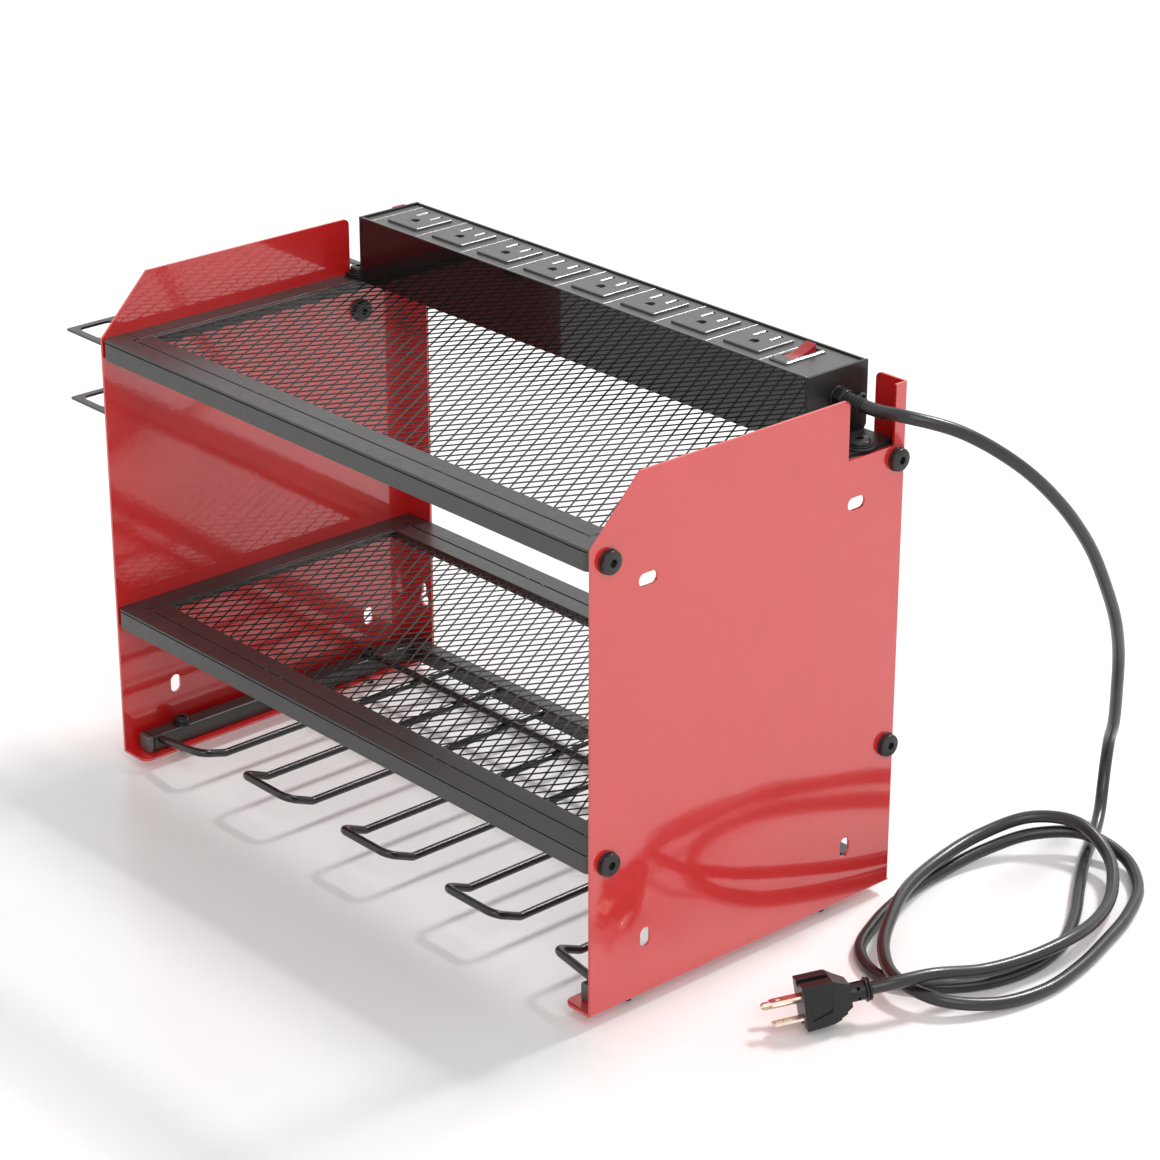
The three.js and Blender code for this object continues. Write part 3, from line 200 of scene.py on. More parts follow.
BRASS = (((0.84, 0.76, 0.66), (0.74, 0.66, 0.56), 3), (2, 0.14, 0.26), [(0.6, 0.002)],
         {"Metallic": 1.0})
FINISHES = {
    "red_paint": (
        ((0.740, 0.0140, 0.0135), (0.690, 0.0110, 0.0108), 38), (9, 0.34, 0.44),
        [(4.5, 0.010), (0.9, 0.0020)],
        {"Coat Weight": 1.0, "Coat IOR": 1.78, "Coat Roughness": 0.06, "IOR": 1.45}, True),
    "black_paint": (
        ((0.0290, 0.0272, 0.0262), (0.0220, 0.0208, 0.0202), 22), (6, 0.34, 0.44),
        [(1.6, 0.006), (0.5, 0.003)], {"IOR": 1.62, "Coat Weight": 0.15, "Coat Roughness": 0.22}),
    "black_fastener": (
        ((0.0220, 0.0210, 0.0205), (0.0140, 0.0138, 0.0140), 2.5), (1.5, 0.26, 0.38),
        [(0.5, 0.004)], {"IOR": 1.5, "Metallic": 0.1}),
    "cord_jacket": (
        ((0.0150, 0.0145, 0.0142), (0.0100, 0.0098, 0.0098), 14), (5, 0.30, 0.40),
        [(2.4, 0.014), (0.5, 0.003)], {"IOR": 1.48, "Coat Weight": 0.25, "Coat Roughness": 0.20}),
    "moulded_vinyl": (
        ((0.0120, 0.0115, 0.0117), (0.0085, 0.0082, 0.0085), 7), (3, 0.32, 0.42),
        [(1.1, 0.006), (0.35, 0.003)], {"IOR": 1.42}),
    "rocker_lens": (
        ((0.44, 0.008, 0.016), (0.34, 0.006, 0.011), 5), (3, 0.12, 0.20), [(1.2, 0.003)],
        {"IOR": 1.4, "Coat Weight": 0.3, "Coat Roughness": 0.04, "Subsurface Weight": 0.2,
         "Subsurface Scale": 0.003}),
    "strip_casing": (
        ((0.0050, 0.0042, 0.0044), (0.0038, 0.0034, 0.0036), 30), (8, 0.12, 0.18),
        [(5.0, 0.004), (0.8, 0.0008)],
        {"IOR": 1.3, "Coat Weight": 1.0, "Coat Roughness": 0.03, "Coat IOR": 1.42}),
    # Partly the plastic's own dark grey and partly painted sheen: the base colour is lifted to
    # stand in for the satin reflection on the strip's top.
    "black_plastic": (
        ((0.0620, 0.0600, 0.0585), (0.0500, 0.0490, 0.0478), 12), (4, 0.32, 0.40),
        [(0.7, 0.005), (0.25, 0.002)], {"IOR": 1.85}),
    "copper_bar": BRASS,
    "plug_brass": BRASS,
    "gloss_wire": (
        ((0.0120, 0.0115, 0.0115), (0.0080, 0.0078, 0.0080), 18), (5, 0.24, 0.34),
        [(2.6, 0.003), (0.5, 0.001)], {"IOR": 1.5, "Coat Weight": 0.3, "Coat Roughness": 0.24}),
    "end_moulding": (
        ((0.0130, 0.0115, 0.0115), (0.0090, 0.0082, 0.0084), 12), (4, 0.34, 0.44),
        [(0.9, 0.004), (0.3, 0.002)], {"IOR": 1.5}),
    "net_paint": (
        ((0.0120, 0.0108, 0.0104), (0.0080, 0.0074, 0.0072), 16), (3, 0.34, 0.46),
        [(0.6, 0.003)], {"IOR": 1.38}),
}
LOOKS = {name: finish(name, *parts) for name, parts in FINISHES.items()}
NODE_SLOTS = {part["node"]: part["material_slot"] for part in frame["record"]["subparts"]}
NODE_BODIES = {
    node: body for body, nodes in frame["record"]["behaviour"]["bodies"].items() for node in nodes
}
for node, shown in frame["nodes"].items():
    shown.data.materials.clear()
    shown.data.materials.append(LOOKS[NODE_SLOTS[node]])

# Shapes, in millimetres. Cuts overrun what they cut, and joined solids lap. A ..._BEVEL holds a
# width, its segments and the least angle that it rounds.

QUARTER_STEPS = 8
DOME_STEPS = 6
CIRCLE_SIDES = 40
LATHE_SIDES = 48
SMALL_SIDES = 20
OVERRUN = 1.0
LAP = 0.01
SEAT_GAP = 0.02


def linked(bm, name="solid", outward=True):
    """A mesh as an object, with its faces turned outward."""
    mesh = bpy.data.meshes.new(name)
    if outward:
        bmesh.ops.recalc_face_normals(bm, faces=bm.faces)
    bm.to_mesh(mesh)
    bm.free()
    solid = bpy.data.objects.new(name, mesh)
    bpy.context.scene.collection.objects.link(solid)
    return solid


def skinned(rings):
    """A solid through rings of as many points each, closed at both ends."""
    bm = bmesh.new()
    rings = [[bm.verts.new(point) for point in ring] for ring in rings]
    bm.faces.new(rings[0])
    bm.faces.new(rings[-1])
    for low, high in zip(rings, rings[1:]):
        for i in range(len(low)):
            j = (i + 1) % len(low)
            bm.faces.new((low[i], low[j], high[j], high[i]))
    return linked(bm)


def prism(outline, start, end, axis="Z"):
    """A solid with that outline from start to end along an axis. The outline is drawn in the
    other two axes, in their own order."""
    spot = {
        "X": lambda a, b, c: (c, a, b),
        "Y": lambda a, b, c: (a, c, b),
        "Z": lambda a, b, c: (a, b, c),
    }[axis]
    return skinned([[spot(a, b, c) for a, b in outline] for c in (start, end)])


def block(x0, x1, y0, y1, z0, z1):
    return prism([(x0, y0), (x1, y0), (x1, y1), (x0, y1)], z0, z1)


def circle(a, b, radius, sides=CIRCLE_SIDES, turn=0.0):
    turns = [turn + 2 * math.pi * i / sides for i in range(sides)]
    return [(a + radius * math.cos(t), b + radius * math.sin(t)) for t in turns]


def hexagon(across_flats, turn=0.0):
    return circle(0, 0, across_flats / math.sqrt(3), 6, turn)


def arc(centre, radius, start, quarters, steps=QUARTER_STEPS):
    """Points on an arc. Angles are in quarter turns."""
    points = []
    for i in range(steps + 1):
        angle = (start + quarters * i / steps) * math.pi / 2
        points.append((centre[0] + radius * math.cos(angle), centre[1] + radius * math.sin(angle)))
    return points


def rounded(a, b, width, height, radius):
    """A rectangle with round corners, centred at (a, b)."""
    points = []
    for quarter, (sa, sb) in enumerate(((1, 1), (-1, 1), (-1, -1), (1, -1))):
        centre = (a + sa * (width / 2 - radius), b + sb * (height / 2 - radius))
        points += arc(centre, radius, quarter, 1)
    return points


def sloped_pad(x, y, size, corners, foot, top, slope):
    """A pad from foot to top whose upper rim slopes in. Its corners are rounded by the first
    radius below and by the second one above."""
    run, rise = slope
    below = rounded(x, y, size[0], size[1], corners[0])
    above = rounded(x, y, size[0] - 2 * run, size[1] - 2 * run, corners[1])
    levels = ((below, foot), (below, top - rise), (above, top))
    return skinned([[(a, b, z) for a, b in outline] for outline, z in levels])


def lathe(profile, sides=LATHE_SIDES):
    """A solid of revolution about Z. The profile holds (radius, height)."""
    bm = bmesh.new()
    rings = []
    for radius, height in profile:
        ring = circle(0, 0, radius, sides if radius > 0 else 1)
        rings.append([bm.verts.new((a, b, height)) for a, b in ring])
    for low, high in zip(rings, rings[1:]):
        for i in range(sides):
            corners = [low[i % len(low)], low[(i + 1) % len(low)],
                       high[(i + 1) % len(high)], high[i % len(high)]]
            unique = list(dict.fromkeys(corners))
            if len(unique) > 2:
                bm.faces.new(unique)
    return linked(bm)


def dome(radius, height, start):
    """The profile of a round end that rises from start."""
    quarter = arc((0, 0), 1, 0, 1, DOME_STEPS)[:-1]
    return [*((radius * a, start + height * b) for a, b in quarter), (0, start + height)]


def rod(radius, start, end, first_edge=(), last_edge=(), sides=LATHE_SIDES):
    """A round bar along Z. An edge is cut off by (how far in, how far along)."""
    profile = [(0, start), (radius, start), (radius, end), (0, end)]
    if last_edge:
        profile[2:3] = [(radius, end - last_edge[1]), (radius - last_edge[0], end)]
    if first_edge:
        profile[1:2] = [(radius - first_edge[0], start), (radius, start + first_edge[1])]
    return lathe(profile, sides)


def placed(solid, place, direction):
    """Turns a solid that was made about the origin, along +Z, to its place and direction."""
    turn = Z_AXIS.rotation_difference(direction).to_matrix().to_4x4()
    solid.data.transform(Matrix.Translation(place) @ turn)
    return solid


def filleted(corners, radius):
    """The points of a line through those corners, with a round bend at each inner one."""
    corners = [Vector(c) for c in corners]
    points = [corners[0]]
    for before, corner, after in zip(corners, corners[1:], corners[2:]):
        into, out = (corner - before).normalized(), (after - corner).normalized()
        angle = into.angle(out)
        centre = corner + (out - into).normalized() * radius / math.cos(angle / 2)
        start = corner - into * radius * math.tan(angle / 2) - centre
        swing = into.cross(out).normalized()
        for i in range(QUARTER_STEPS + 1):
            points.append(centre + Matrix.Rotation(angle * i / QUARTER_STEPS, 3, swing) @ start)
    points.append(corners[-1])
    return points


def sweep(points, radius):
    """A round bar along those points."""
    tangents = []
    for i in range(len(points)):
        ahead, behind = points[min(i + 1, len(points) - 1)], points[max(i - 1, 0)]
        tangents.append((ahead - behind).normalized())
    across = tangents[0].orthogonal().normalized()
    rings = []
    for i, point in enumerate(points):
        if i:
            across = tangents[i - 1].rotation_difference(tangents[i]) @ across
        upward = tangents[i].cross(across)
        ring = circle(0, 0, radius, SMALL_SIDES)
        rings.append([point + across * a + upward * b for a, b in ring])
    return skinned(rings)


def settle(solid):
    """Turns a solid's modifiers into its mesh."""
    depsgraph = bpy.context.evaluated_depsgraph_get()
    mesh = bpy.data.meshes.new_from_object(solid.evaluated_get(depsgraph))
    solid.modifiers.clear()
    solid.data = mesh
    return solid


def shape(base, add=(), cut=(), bevel=0.0, segments=2, angle=32, within=()):
    """A solid kept within others, joined to others and cut by others, and its sharp edges
    rounded off."""
    for operation, tools in (("INTERSECT", within), ("UNION", add), ("DIFFERENCE", cut)):
        for tool in tools:
            change = base.modifiers.new(operation, "BOOLEAN")
            change.operation = operation
            change.solver = "MANIFOLD"
            change.object = tool
    if bevel:
        round_off = base.modifiers.new("edges", "BEVEL")
        round_off.width = bevel
        round_off.segments = segments
        round_off.limit_method = "ANGLE"
        round_off.angle_limit = math.radians(angle)
    settle(base)
    for tool in (*within, *add, *cut):
        bpy.data.objects.remove(tool)
    return base


def gathered(solids):
    """Several solids as one object, without joining their surfaces."""
    bm = bmesh.new()
    for solid in solids:
        bm.from_mesh(solid.data)
        bpy.data.objects.remove(solid)
    return linked(bm, outward=False)


def dress(solid, name, node, smooth=50, look=None):
    """Sets a finished solid into the frame, in place of the CAD node that it stands for."""
    solid.name = name
    solid.data.transform(TO_FRAME)
    slot = NODE_SLOTS[node]
    solid.data.materials.clear()
    solid.data.materials.append(LOOKS[look or slot])
    solid.data.shade_smooth()
    solid.data.set_sharp_from_angle(angle=math.radians(smooth))
    even = solid.modifiers.new("even", "WEIGHTED_NORMAL")
    even.keep_sharp = True
    settle(solid)
    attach(solid, NODE_BODIES[node])
    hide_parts(node)
    return solid


# Cord: the route's points, as in the model, with its plug

CORD_RADIUS = 3.8
CORD_PLACES = [
    (225, 208, 302.7), (242, 211, 303.5), (261.6, 233.4, 294.7), (276.4, 265.5, 271.5),
    (282.6, 296.2, 241.8), (283.9, 322.3, 209.7), (280.5, 343.5, 178), (274.9, 362, 148.4),
    (266.3, 378, 119.7), (257.8, 389.6, 89.8), (247.8, 401.5, 59.5), (238.2, 410.5, 41.4),
    (237.3, 409.8, 26.3), (240.5, 404.5, 13.5), (247.2, 394.8, 3), (256.3, 380.3, -2.5),
    (266.8, 362.2, -3.7), (279.9, 341.2, -3.7), (297.9, 316.1, -3.7), (317, 290, -3.7),
    (333.1, 260.9, -3.7), (340.1, 227.7, -3.7), (334.1, 194.6, -3.7), (315, 167.5, -3.7),
    (288.9, 156, -3.7), (262.8, 167.5, -3.7), (245.8, 197.6, -3.7), (234.7, 232.8, -3.7),
    (229.7, 268.9, -3.5), (232.7, 305, 0.5), (244.7, 336.2, 5.4), (266.8, 358.3, 5.9),
    (294.9, 361.2, 0), (320, 343.2, -3.5), (337.1, 313.1, -3.7), (348.1, 280.9, -3.7),
    (357.2, 247.8, -3.7), (361.2, 213.7, -3.7), (354.1, 178.6, -2), (335.1, 153.5, 2.3),
    (307.9, 149.5, 5.3), (280.8, 167.6, 5.1), (256.8, 199.7, 5.2), (239.7, 231.8, 5.4),
    (229.7, 268.9, 5.8), (228.6, 307.1, 9.1), (240.7, 338.2, 14.5), (264.7, 352.3, 14.9),
    (292.9, 347.2, 6.5), (317, 323.1, 1.5), (334.1, 291, 2.5), (343.1, 256.9, 5.7),
    (342.1, 220.8, 5.9), (336, 188.7, 7.5), (327.5, 156.6, 13.5),
]
FLOOR_Z = -ORIGIN.z / MM
PLUG_REAR = Vector((313.6, 122.5, 12.2))
PLUG_AXIS = Vector((-0.489, -0.863, -0.124)).normalized()
PLUG_TOP = Vector((-0.248, -0.058, 0.967))
PLUG_LEAD = 12.0
CORD_GAP = 0.3
RELIEF_END = extent("strain_relief")[1].x
LINE_STEPS = 10
LINE_FACETS = 6


def laid_line(points):
    """A centripetal Catmull-Rom line through the points, kept a cord's radius off the floor."""
    first = points[0] * 2 - points[1]
    last = points[-1] * 2 - points[-2]
    padded = [first, *points, last]
    steps = [math.sqrt((b - a).length) for a, b in zip(padded, padded[1:])]
    line = []
    for i in range(1, len(padded) - 2):
        p0, p1, p2, p3 = padded[i - 1:i + 3]
        d0, d1, d2 = steps[i - 1:i + 2]
        m1 = ((p1 - p0) / d0 - (p2 - p0) / (d0 + d1) + (p2 - p1) / d1) * d1
        m2 = ((p2 - p1) / d1 - (p3 - p1) / (d1 + d2) + (p3 - p2) / d2) * d1
        for k in range(LINE_STEPS):
            t = k / LINE_STEPS
            point = (p1 * (2 * t ** 3 - 3 * t ** 2 + 1) + m1 * (t ** 3 - 2 * t ** 2 + t)
                     + p2 * (3 * t ** 2 - 2 * t ** 3) + m2 * (t ** 3 - t ** 2))
            line.append(point)
    line.append(points[-1])
    for point in line:
        point.z = max(point.z, FLOOR_Z + CORD_RADIUS)
    return line


def make_cord():
    start = middle("strain_relief", x=RELIEF_END + CORD_GAP)
    route = [start, *(Vector(p) for p in CORD_PLACES),
             PLUG_REAR - PLUG_AXIS * PLUG_LEAD, PLUG_REAR - PLUG_AXIS * CORD_GAP]
    line = [TO_FRAME @ point for point in laid_line(route)]
    curve = bpy.data.curves.new("power_cord_line", "CURVE")
    curve.dimensions = "3D"
    curve.bevel_depth = CORD_RADIUS * MM
    curve.bevel_resolution = LINE_FACETS
    curve.use_fill_caps = True
    spline = curve.splines.new("POLY")
    spline.points.add(len(line) - 1)
    for knot, point in zip(spline.points, line):
        knot.co = (*point, 1)
    spline.use_smooth = True
    curve.materials.append(LOOKS["cord_jacket"])
    cord = bpy.data.objects.new("cord", curve)
    bpy.context.scene.collection.objects.link(cord)
    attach(cord, NODE_BODIES["power_cord"])
    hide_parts("power_cord")
    length = sum((b - a).length for a, b in zip(line, line[1:]))
    return cord, line[0], length


cord, cord_exit, cord_length = make_cord()

# Side panels: folded sheet with round bends, slots, keyholes and a notch. A slot holds its
# height above the floor of the cabinet, its depth and its height.

SHEET = 1.6
EDGE = 0.3
SHELF_TOP = extent("top_shelf_frame")[1].z
LOWER_TOP = extent("lower_shelf_frame")[1].z
HALF_WIDTH = (RIGHT_HIGH.x - ORIGIN.x) / MM
INNER_X = HALF_WIDTH - SHEET
DEPTH = (RIGHT_HIGH.y - ORIGIN.y) / MM
HEIGHT = (RIGHT_HIGH.z - ORIGIN.z) / MM
REAR_FLANGE = 23.0
BOTTOM_FLANGE = 22.3
SHOULDER_RUN = 34.85
NOTCH_REAR = DEPTH - 9.3
NOTCH_FRONT = NOTCH_REAR - 36.5
SLOT_WIDTH = 7.5
SLOTS = ((250.0, 13.5, SLOT_WIDTH), (35.7, SLOT_WIDTH, 12.0))
SLOT_YS = (40.7, DEPTH - 38.4)
KEYHOLE_X = HALF_WIDTH - 15.3
KEYHOLE_Z = 41.5
KEYHOLE_RADIUS = 4.25
KEYHOLE_NECK = (4.3, 9.4)
WALL_HOLE_RADIUS = 2.75
RAIL_HEIGHT = 12.5
WALL_HOLE_Z = SHELF_TOP - RAIL_HEIGHT / 2
REAR_CORNER = 4.0
FRONT_CORNER = 6.0
QUARTER = arc((0, 0), 1, 0, 1)


def bent_sheet(path, sign=1):
    """The section of a folded sheet whose path runs along its outer side and turns left."""
    path = [Vector(point) for point in path]
    ways = [(after - before).normalized() for before, after in zip(path, path[1:])]

    def inward(point, way):
        return point + Vector((-way.y, way.x)) * SHEET

    outer, inner = [path[0]], [inward(path[0], ways[0])]
    for corner, into, out in zip(path[1:], ways, ways[1:]):
        centre = corner + (out - into) * SHEET
        inner.append(centre)
        outer += [centre + (into * b - out * a) * SHEET for a, b in QUARTER]
    outer.append(path[-1])
    inner.append(inward(path[-1], ways[-1]))
    return [(a * sign, b) for a, b in outer + inner[::-1]]


def corner_waste(a, b, in_a, in_b, radius):
    """What is cut away to round a corner at (a, b) of a plate that lies toward (in_a, in_b)."""
    bend = [(a + in_a * radius * (1 - d), b + in_b * radius * (1 - c)) for c, d in QUARTER]
    return [(a - in_a * OVERRUN, b - in_b * OVERRUN), (a + in_a * radius, b - in_b * OVERRUN),
            *bend, (a - in_a * OVERRUN, b + in_b * radius)]


def side_panel(name, sign):
    rear_x, foot_x = HALF_WIDTH - REAR_FLANGE, HALF_WIDTH - BOTTOM_FLANGE
    upright = bent_sheet([(HALF_WIDTH, 0), (HALF_WIDTH, DEPTH), (rear_x, DEPTH)], sign)
    foot = bent_sheet([(foot_x, 0), (HALF_WIDTH, 0), (HALF_WIDTH, SHEET + LAP)], sign)
    far, near = sign * (HALF_WIDTH + OVERRUN), sign * (rear_x - OVERRUN)
    side = (sign * (HALF_WIDTH - 2 * SHEET), far)
    flange = (DEPTH - SHEET - OVERRUN, DEPTH + OVERRUN)
    hole_x = sign * KEYHOLE_X
    neck, rise = KEYHOLE_NECK
    cuts = [
        prism([(-OVERRUN, SHELF_TOP), (0, SHELF_TOP), (SHOULDER_RUN, HEIGHT),
               (SHOULDER_RUN, HEIGHT + OVERRUN), (-OVERRUN, HEIGHT + OVERRUN)], near, far, "X"),
        block(near, far, NOTCH_FRONT, NOTCH_REAR, SHELF_TOP, HEIGHT + OVERRUN),
        prism(corner_waste(NOTCH_FRONT, HEIGHT, -1, -1, REAR_CORNER), *side, "X"),
        prism(corner_waste(sign * rear_x, HEIGHT, sign, -1, REAR_CORNER), *flange, "Y"),
        prism(corner_waste(sign * foot_x, 0, sign, 1, FRONT_CORNER), -OVERRUN, SHEET + OVERRUN),
        prism(circle(hole_x, KEYHOLE_Z, KEYHOLE_RADIUS), *flange, "Y"),
        prism(rounded(hole_x, KEYHOLE_Z + rise / 2, neck, neck + rise, neck / 2), *flange, "Y"),
        prism(circle(hole_x, WALL_HOLE_Z, WALL_HOLE_RADIUS), *flange, "Y"),
    ]
    for y in SLOT_YS:
        for z, depth, height in SLOTS:
            cuts.append(prism(rounded(y, z, depth, height, SLOT_WIDTH / 2), *side, "X"))
    panel = shape(prism(upright, SHEET, HEIGHT), [prism(foot, 0, DEPTH, "Y")], cuts, EDGE)
    dress(panel, f"panel_{name}", f"side_panel_{name}")


for name, sign in SIDES:
    side_panel(name, sign)

# Shelves: rails with a ledge, a flat frame tacked to them, and expanded mesh

SHELVES = (("top_shelf", SHELF_TOP), ("lower_shelf", LOWER_TOP))
RAIL_TOP_DEPTH = 13.2
RAIL_DEPTH = extent("top_shelf_front_rail")[1].y
SIDE_RAIL_X = extent("top_shelf_right_rail")[0].x
RAIL_ROUND = 0.8
RAIL_LINE = (1.1, 0.9, 0.9)
RAIL_CORNER = 4.5
BLOCK_LENGTH = 9.0
FRAME_BAR = 12.2
FRAME_LIP = 3.0
MESH_THICKNESS = 0.42
MESH_STRAND = 0.86
MESH_TWIST = -0.3
MESH_DROP = 0.25
MESH_FIRST_ROW = 3.6
MESH_BEVEL = (0.08, 1, 40)
DIAMOND_WIDTH = 9.0
DIAMOND_LENGTH = 15.0
TACK_SHARES = (-0.985, -0.41, -0.34, 0.36, 0.42, 0.985)
TACK_SIZE = (1.7, 0.9, 0.55)
TACK_FOOT = 0.3
TACK_SINK = 0.1
TACK_OFFSET = 0.2


def cross_rail(shelf, end, top):
    """A channel that is open below, with a ledge for the frame and the mesh, a fine line along
    its outer face and a block for a bolt in each end."""
    node = f"{shelf}_{end}_rail"
    outer, way = (0, 1) if end == "front" else (extent(node)[0].y + RAIL_DEPTH, -1)

    def deep(distance):
        """That far behind the rail's outer face."""
        return outer + way * distance

    leg = RAIL_DEPTH - SHEET
    outline = [(0, -RAIL_HEIGHT), *arc((RAIL_ROUND, -RAIL_ROUND), RAIL_ROUND, 2, -1),
               *arc((RAIL_DEPTH - RAIL_ROUND, -RAIL_ROUND), RAIL_ROUND, 1, -1),
               (RAIL_DEPTH, -RAIL_HEIGHT), (leg, -RAIL_HEIGHT), (leg, -2 * SHEET),
               (SHEET, -2 * SHEET), (SHEET, -RAIL_HEIGHT)]
    rail = prism([(deep(a), top + b) for a, b in outline], -INNER_X, INNER_X, "X")
    start, width, depth = RAIL_LINE
    through = (deep(-OVERRUN), deep(RAIL_DEPTH + OVERRUN))
    cuts = [block(-SIDE_RAIL_X, SIDE_RAIL_X, deep(RAIL_TOP_DEPTH), through[1],
                  top - SHEET, top + OVERRUN),
            block(-INNER_X - OVERRUN, INNER_X + OVERRUN, through[0], deep(depth),
                  top - start - width, top - start)]
    blocks = []
    for _, sign in SIDES:
        blocks.append(block(sign * (INNER_X - BLOCK_LENGTH), sign * (INNER_X - LAP),
                            deep(SHEET - LAP), deep(leg + LAP),
                            top - RAIL_HEIGHT, top - 2 * SHEET + LAP))
        cuts.append(prism(corner_waste(sign * INNER_X, outer, -sign, way, RAIL_CORNER),
                          top - RAIL_HEIGHT - OVERRUN, top + OVERRUN))
        if node == "top_shelf_rear_rail":
            hole = circle(sign * KEYHOLE_X, WALL_HOLE_Z, WALL_HOLE_RADIUS)
            cuts.append(prism(hole, *through, "Y"))
    dress(shape(rail, blocks, cuts, EDGE), f"{shelf}_{end}", node)


def side_rail(shelf, name, sign, top):
    inner, leg, outer = (sign * x for x in (SIDE_RAIL_X, INNER_X - SHEET, INNER_X))
    under, low = top - SHEET, top - RAIL_HEIGHT
    section = [(inner, under), (inner, top), (outer, top), (outer, low), (leg, low), (leg, under)]
    rail = prism(section, RAIL_DEPTH, extent(f"{shelf}_rear_rail")[0].y, "Y")
    dress(shape(rail, bevel=EDGE), f"{shelf}_{name}", f"{shelf}_{name}_rail")


def tack(x, y, top):
    """A weld tack across a seam: a low oval bead."""
    bead = lathe([(0, -TACK_FOOT), (1, -TACK_FOOT), *dome(1, 1, 0)], SMALL_SIDES)
    size = Matrix.Diagonal((*TACK_SIZE, 1))
    bead.data.transform(Matrix.Translation((x, y, top - TACK_SINK)) @ size)
    return bead


def shelf_frame(shelf, top):
    node = f"{shelf}_frame"
    low, high = extent(node)
    ring = block(low.x, high.x, low.y, high.y, top - SHEET, top)
    window = block(low.x + FRAME_LIP, high.x - FRAME_LIP, low.y + FRAME_BAR, high.y - FRAME_BAR,
                   top - SHEET - OVERRUN, top + OVERRUN)
    shape(ring, cut=[window], bevel=EDGE)
    beads = [tack(share * SIDE_RAIL_X, y, top) for share in TACK_SHARES
             for y in (low.y - TACK_OFFSET, high.y + TACK_OFFSET)]
    dress(gathered([ring, *beads]), f"{shelf}_bars", node)


def expanded_mesh(shelf):
    """A net of diamonds whose strands are twisted a little, as slit and stretched sheet is."""
    node = f"{shelf}_mesh"
    low, high = extent(node)
    columns = round((high.x - low.x) / DIAMOND_WIDTH)
    half_x = (high.x - low.x) / columns / 2
    half_y = DIAMOND_LENGTH / 2
    start_y = low.y + MESH_FIRST_ROW
    rows = int((high.y - start_y) / half_y)
    inward = 1 - MESH_STRAND / 2 * math.hypot(half_x, half_y) / (half_x * half_y)
    around = ((-1, 0), (0, 1), (1, 0), (0, -1))
    levels = (high.z - MESH_DROP, high.z - MESH_DROP - MESH_THICKNESS)
    bm = bmesh.new()
    knots = {}

    def knot(i, j, z):
        if (i, j, z) not in knots:
            knots[i, j, z] = bm.verts.new((low.x + i * half_x, start_y + j * half_y, z))
        return knots[i, j, z]

    for i in range(1, 2 * columns):
        for j in range(1, rows):
            if (i + j) % 2:
                continue
            x, y = low.x + i * half_x, start_y + j * half_y
            upper, under = ([bm.verts.new((x + a * half_x * inward, y + b * half_y * inward,
                                           z - a * MESH_TWIST)) for a, b in around]
                            for z in levels)
            for n, (a, b) in enumerate(around):
                m = (n + 1) % len(around)
                c, d = around[m]
                for z, ring in zip(levels, (upper, under)):
                    bm.faces.new((knot(i + a, j + b, z), knot(i + c, j + d, z), ring[m], ring[n]))
                bm.faces.new((upper[n], upper[m], under[m], under[n]))
    net = shape(linked(bm), (), (), *MESH_BEVEL)
    dress(net, f"{shelf}_net", node, look="net_paint")


for shelf, top in SHELVES:
    for end in ENDS:
        cross_rail(shelf, end, top)
    for name, sign in SIDES:
        side_rail(shelf, name, sign, top)
    shelf_frame(shelf, top)
    expanded_mesh(shelf)

# Fasteners. A washer holds its radius and thickness.

HEAD_RADIUS = 6.75
HEAD_HEIGHT = 3.2
HEAD_EDGE = 0.9
HEAD_CROWN = 0.35
HEAD_RIM = 0.2
HEAD_SINK = 0.05
CROWN_FLAT = 0.8
WASHER = (7.2, 1.1)
WASHER_EDGE = 0.25
SOCKET_FLATS = 4.3
SOCKET_DEPTH = 2.3
SOCKET_TURN = 0.3
NUT_FLATS = 9.7
NUT_HEIGHT = 4.0
NUT_CHAMFER = 0.2
NUT_SPARE = 0.1
NUT_SLOPE = 0.6
NUT_BORE = (0.3, 0.6)
NUT_EDGE = 0.12
THREAD_RADIUS = 2.45
THREAD_EDGE = (0.4, 0.3)
RACK_HEAD = 5.0
RACK_WASHER = (6.0, 1.1)
RACK_SOCKET = 3.2
TUBE_TOP = extent("rack_tube_left")[1].z


def washer(radius, height, start):
    low, high = start + SEAT_GAP, start + height
    return lathe([(THREAD_RADIUS, low), (radius - WASHER_EDGE, low), (radius, start + WASHER_EDGE),
                  (radius, high - WASHER_EDGE), (radius - WASHER_EDGE, high),
                  (THREAD_RADIUS, high), (THREAD_RADIUS, low)])


def button_head(radius=HEAD_RADIUS, height=HEAD_HEIGHT, washers=(WASHER,), socket=SOCKET_FLATS):
    """Washers under a low round head with a hex socket, seated at the origin."""
    pieces, base = [], 0.0
    for wide, thickness in washers:
        pieces.append(washer(wide, thickness, base))
        base += thickness
    top, under = base + height, base - HEAD_SINK
    edge = arc((radius - HEAD_EDGE, top - HEAD_CROWN - HEAD_EDGE), HEAD_EDGE, 0, 1, DOME_STEPS)
    head = lathe([(0, under), (radius - HEAD_RIM, under), (radius, base + HEAD_RIM), *edge,
                  (socket * CROWN_FLAT, top), (0, top)])
    recess = prism(hexagon(socket, SOCKET_TURN), top - SOCKET_DEPTH, top + OVERRUN)
    return gathered([*pieces, shape(head, cut=[recess], bevel=HEAD_RIM)])


